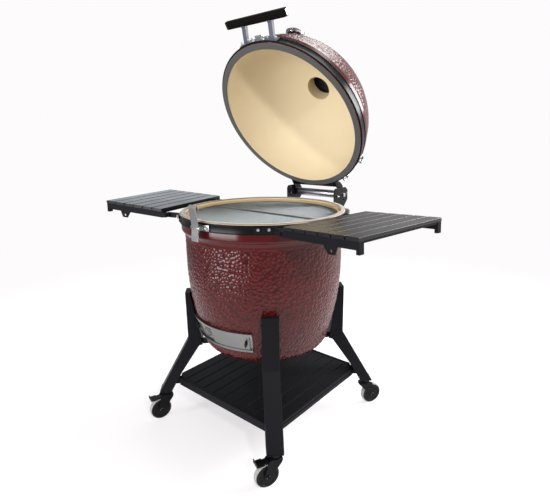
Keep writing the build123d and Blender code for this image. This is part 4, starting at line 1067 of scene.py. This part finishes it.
def build_camera():
    """Camera at about chest height, in front and to the right."""
    azimuth, pitch, yaw, roll = [math.radians(angle) for angle in CAMERA_ANGLES]
    ahead = Vector((-math.sin(azimuth), math.cos(azimuth), 0.0))
    right = Vector((math.cos(azimuth), math.sin(azimuth), 0.0))
    up = Vector((0.0, 0.0, 1.0))
    ahead, right = turned_pair(ahead, right, yaw)
    ahead, up = turned_pair(ahead, up, pitch)
    right, up = turned_pair(right, up, roll)
    data = bpy.data.cameras.new("camera")
    data.lens, data.sensor_width = CAMERA_LENS, 36.0
    data.clip_start, data.clip_end = 0.05, 100.0
    camera = bpy.data.objects.new("camera", data)
    bpy.context.scene.collection.objects.link(camera)
    camera.matrix_world = Matrix.Translation(CAMERA_AT) @ Matrix((right, up, -ahead)).transposed().to_4x4()
    bpy.context.scene.camera = camera


def build_light(name, at, size, power, aim=(0.0, 0.0, 0.7), colour=(1.0, 1.0, 1.0)):
    """Soft box that faces a point."""
    data = bpy.data.lights.new(name, "AREA")
    data.shape, data.size, data.size_y = "RECTANGLE", size[0], size[1]
    data.energy, data.color = power, colour
    light = bpy.data.objects.new(name, data)
    bpy.context.scene.collection.objects.link(light)
    light.location = at
    light.rotation_euler = (Vector(aim) - Vector(at)).to_track_quat("-Z", "Y").to_euler()
    light.visible_camera = False


def build_surround():
    """White surround as seen, over softer light that is strongest from the right and behind."""
    world = bpy.data.worlds.new("surround")
    world.use_nodes = True
    graph = Graph(world.node_tree)
    way = graph.node("ShaderNodeTexCoord", out="Generated")
    side = graph.vector("DOT_PRODUCT", way, Vector((0.72, 0.68, 0.12)).normalized())
    glow = graph.blend(graph.band(side, -0.1, 0.95), (0.28, 0.28, 0.30), (1.25, 1.19, 1.17))
    seen = graph.node("ShaderNodeLightPath", out="Is Camera Ray")
    backdrop = world.node_tree.nodes["Background"]
    graph.put(backdrop.inputs["Color"], graph.blend(seen, glow, (0.983, 0.968, 0.975)))
    bpy.context.scene.world = world


def build_stage(sizes):
    """Pale floor that fades into a white surround, soft boxes, and the camera."""
    points, quads, _ = lathe([(0.0, 0.0), (1.0, 0.0), (sizes.floor, 0.0)], 64, closed=False)
    floor = make_mesh("studio_floor", points, quads)
    floor.data.materials.append(finish("floor"))
    build_surround()
    build_light("key", (2.4, -1.5, 2.1), (0.22, 0.22), 38.0)
    build_light("fill", (-1.6, -3.2, 2.4), (0.26, 0.26), 22.0)
    build_light("front", (-1.0, -4.6, 0.9), (3.4, 1.6), 195.0, (0.0, 0.3, 1.35))
    build_light("left", (-2.7, 1.5, 1.35), (1.6, 0.9), 6.0, (-0.5, 0.0, 0.85), (0.86, 0.94, 1.0))
    build_light("side", (2.2, 2.4, 2.1), (1.5, 1.4), 130.0, (0.0, 0.3, 1.2))
    build_light("top", (0.3, 1.7, 3.6), (2.4, 1.6), 70.0)
    bpy.context.scene.view_settings.view_transform = "Standard"
    build_camera()


# ---- operators ------------------------------------------------------------------------
class GRILL_OT_ceramics(bpy.types.Operator):
    """Build the glazed bowl and the glazed lid"""
    bl_idname = "grill.ceramics"
    bl_label = "Bowl and lid"

    def execute(self, context):
        build_bowl(context.scene.grill_sizes)
        build_dome(context.scene.grill_sizes)
        return {"FINISHED"}


class GRILL_OT_bands(bpy.types.Operator):
    """Build the steel bands and finish what is bolted to them"""
    bl_idname = "grill.bands"
    bl_label = "Bands"

    def execute(self, context):
        build_bands()
        return {"FINISHED"}


class GRILL_OT_gaskets(bpy.types.Operator):
    """Build the felt and woven gaskets"""
    bl_idname = "grill.gaskets"
    bl_label = "Gaskets"

    def execute(self, context):
        build_gaskets()
        return {"FINISHED"}


class GRILL_OT_fire_clay(bpy.types.Operator):
    """Build the fire ring and finish the fire box"""
    bl_idname = "grill.fire_clay"
    bl_label = "Fire clay"

    def execute(self, context):
        build_fire_clay()
        return {"FINISHED"}


class GRILL_OT_grates(bpy.types.Operator):
    """Finish the cooking grates and the charcoal grate"""
    bl_idname = "grill.grates"
    bl_label = "Grates"

    def execute(self, context):
        build_grates()
        return {"FINISHED"}


class GRILL_OT_draft_doors(bpy.types.Operator):
    """Finish the draft frame, its doors, knobs and screws"""
    bl_idname = "grill.draft_doors"
    bl_label = "Draft doors"

    def execute(self, context):
        build_draft_doors()
        return {"FINISHED"}


class GRILL_OT_hinge(bpy.types.Operator):
    """Finish the hinge pin and barrel"""
    bl_idname = "grill.hinge"
    bl_label = "Hinge"

    def execute(self, context):
        build_hinge()
        return {"FINISHED"}


class GRILL_OT_latch(bpy.types.Operator):
    """Finish the latch and its strike"""
    bl_idname = "grill.latch"
    bl_label = "Latch"

    def execute(self, context):
        build_latch()
        return {"FINISHED"}


class GRILL_OT_handle(bpy.types.Operator):
    """Finish the wooden handle, its caps and posts"""
    bl_idname = "grill.handle"
    bl_label = "Handle"

    def execute(self, context):
        build_handle()
        return {"FINISHED"}


class GRILL_OT_thermometer(bpy.types.Operator):
    """Build the thermometer with its dial and needle"""
    bl_idname = "grill.thermometer"
    bl_label = "Thermometer"

    def execute(self, context):
        build_thermometer()
        return {"FINISHED"}


class GRILL_OT_vent(bpy.types.Operator):
    """Finish the chimney's collar and cap"""
    bl_idname = "grill.vent"
    bl_label = "Vent"

    def execute(self, context):
        build_vent()
        return {"FINISHED"}


class GRILL_OT_side_shelves(bpy.types.Operator):
    """Finish the two side shelves"""
    bl_idname = "grill.side_shelves"
    bl_label = "Side shelves"

    def execute(self, context):
        build_side_shelves(context.scene.grill_sizes)
        return {"FINISHED"}


class GRILL_OT_cart(bpy.types.Operator):
    """Finish the legs, cradle, pads and lower shelf"""
    bl_idname = "grill.cart"
    bl_label = "Cart"

    def execute(self, context):
        build_cart(context.scene.grill_sizes)
        return {"FINISHED"}


class GRILL_OT_casters(bpy.types.Operator):
    """Build the wheels and finish the forks and pedals"""
    bl_idname = "grill.casters"
    bl_label = "Casters"

    def execute(self, context):
        build_casters()
        return {"FINISHED"}


class GRILL_OT_stage(bpy.types.Operator):
    """Set up the floor, the lights and the camera"""
    bl_idname = "grill.stage"
    bl_label = "Stage"

    def execute(self, context):
        build_stage(context.scene.grill_sizes)
        return {"FINISHED"}


OPERATORS = (
    GRILL_OT_ceramics, GRILL_OT_bands, GRILL_OT_gaskets, GRILL_OT_fire_clay, GRILL_OT_grates,
    GRILL_OT_draft_doors, GRILL_OT_hinge, GRILL_OT_latch, GRILL_OT_handle, GRILL_OT_thermometer,
    GRILL_OT_vent, GRILL_OT_side_shelves, GRILL_OT_cart, GRILL_OT_casters, GRILL_OT_stage,
)


class GRILL_PT_looks(bpy.types.Panel):
    """Sidebar panel with every step of the grill's looks"""
    bl_idname = "GRILL_PT_looks"
    bl_label = "Kamado grill"
    bl_space_type = "VIEW_3D"
    bl_region_type = "UI"
    bl_category = "Grill"

    def draw(self, context):
        sizes, colours = context.scene.grill_sizes, context.scene.grill_colours
        for group in (sizes, colours):
            for key in group.__annotations__:
                self.layout.prop(group, key)
        for operator in OPERATORS:
            self.layout.operator(operator.bl_idname)


CLASSES = (GrillSizes, GrillColours, *OPERATORS, GRILL_PT_looks)


def register():
    """Register the classes and hang the settings on the scene."""
    for each in CLASSES:
        bpy.utils.register_class(each)
    bpy.types.Scene.grill_sizes = PointerProperty(type=GrillSizes)
    bpy.types.Scene.grill_colours = PointerProperty(type=GrillColours)


def unregister():
    """Take the settings and the classes away again."""
    del bpy.types.Scene.grill_colours
    del bpy.types.Scene.grill_sizes
    for each in reversed(CLASSES):
        bpy.utils.unregister_class(each)


def main():
    """Run every step in order."""
    register()
    for operator in OPERATORS:
        group, step = operator.bl_idname.split(".")
        getattr(getattr(bpy.ops, group), step)()


if __name__ == "__main__":
    main()
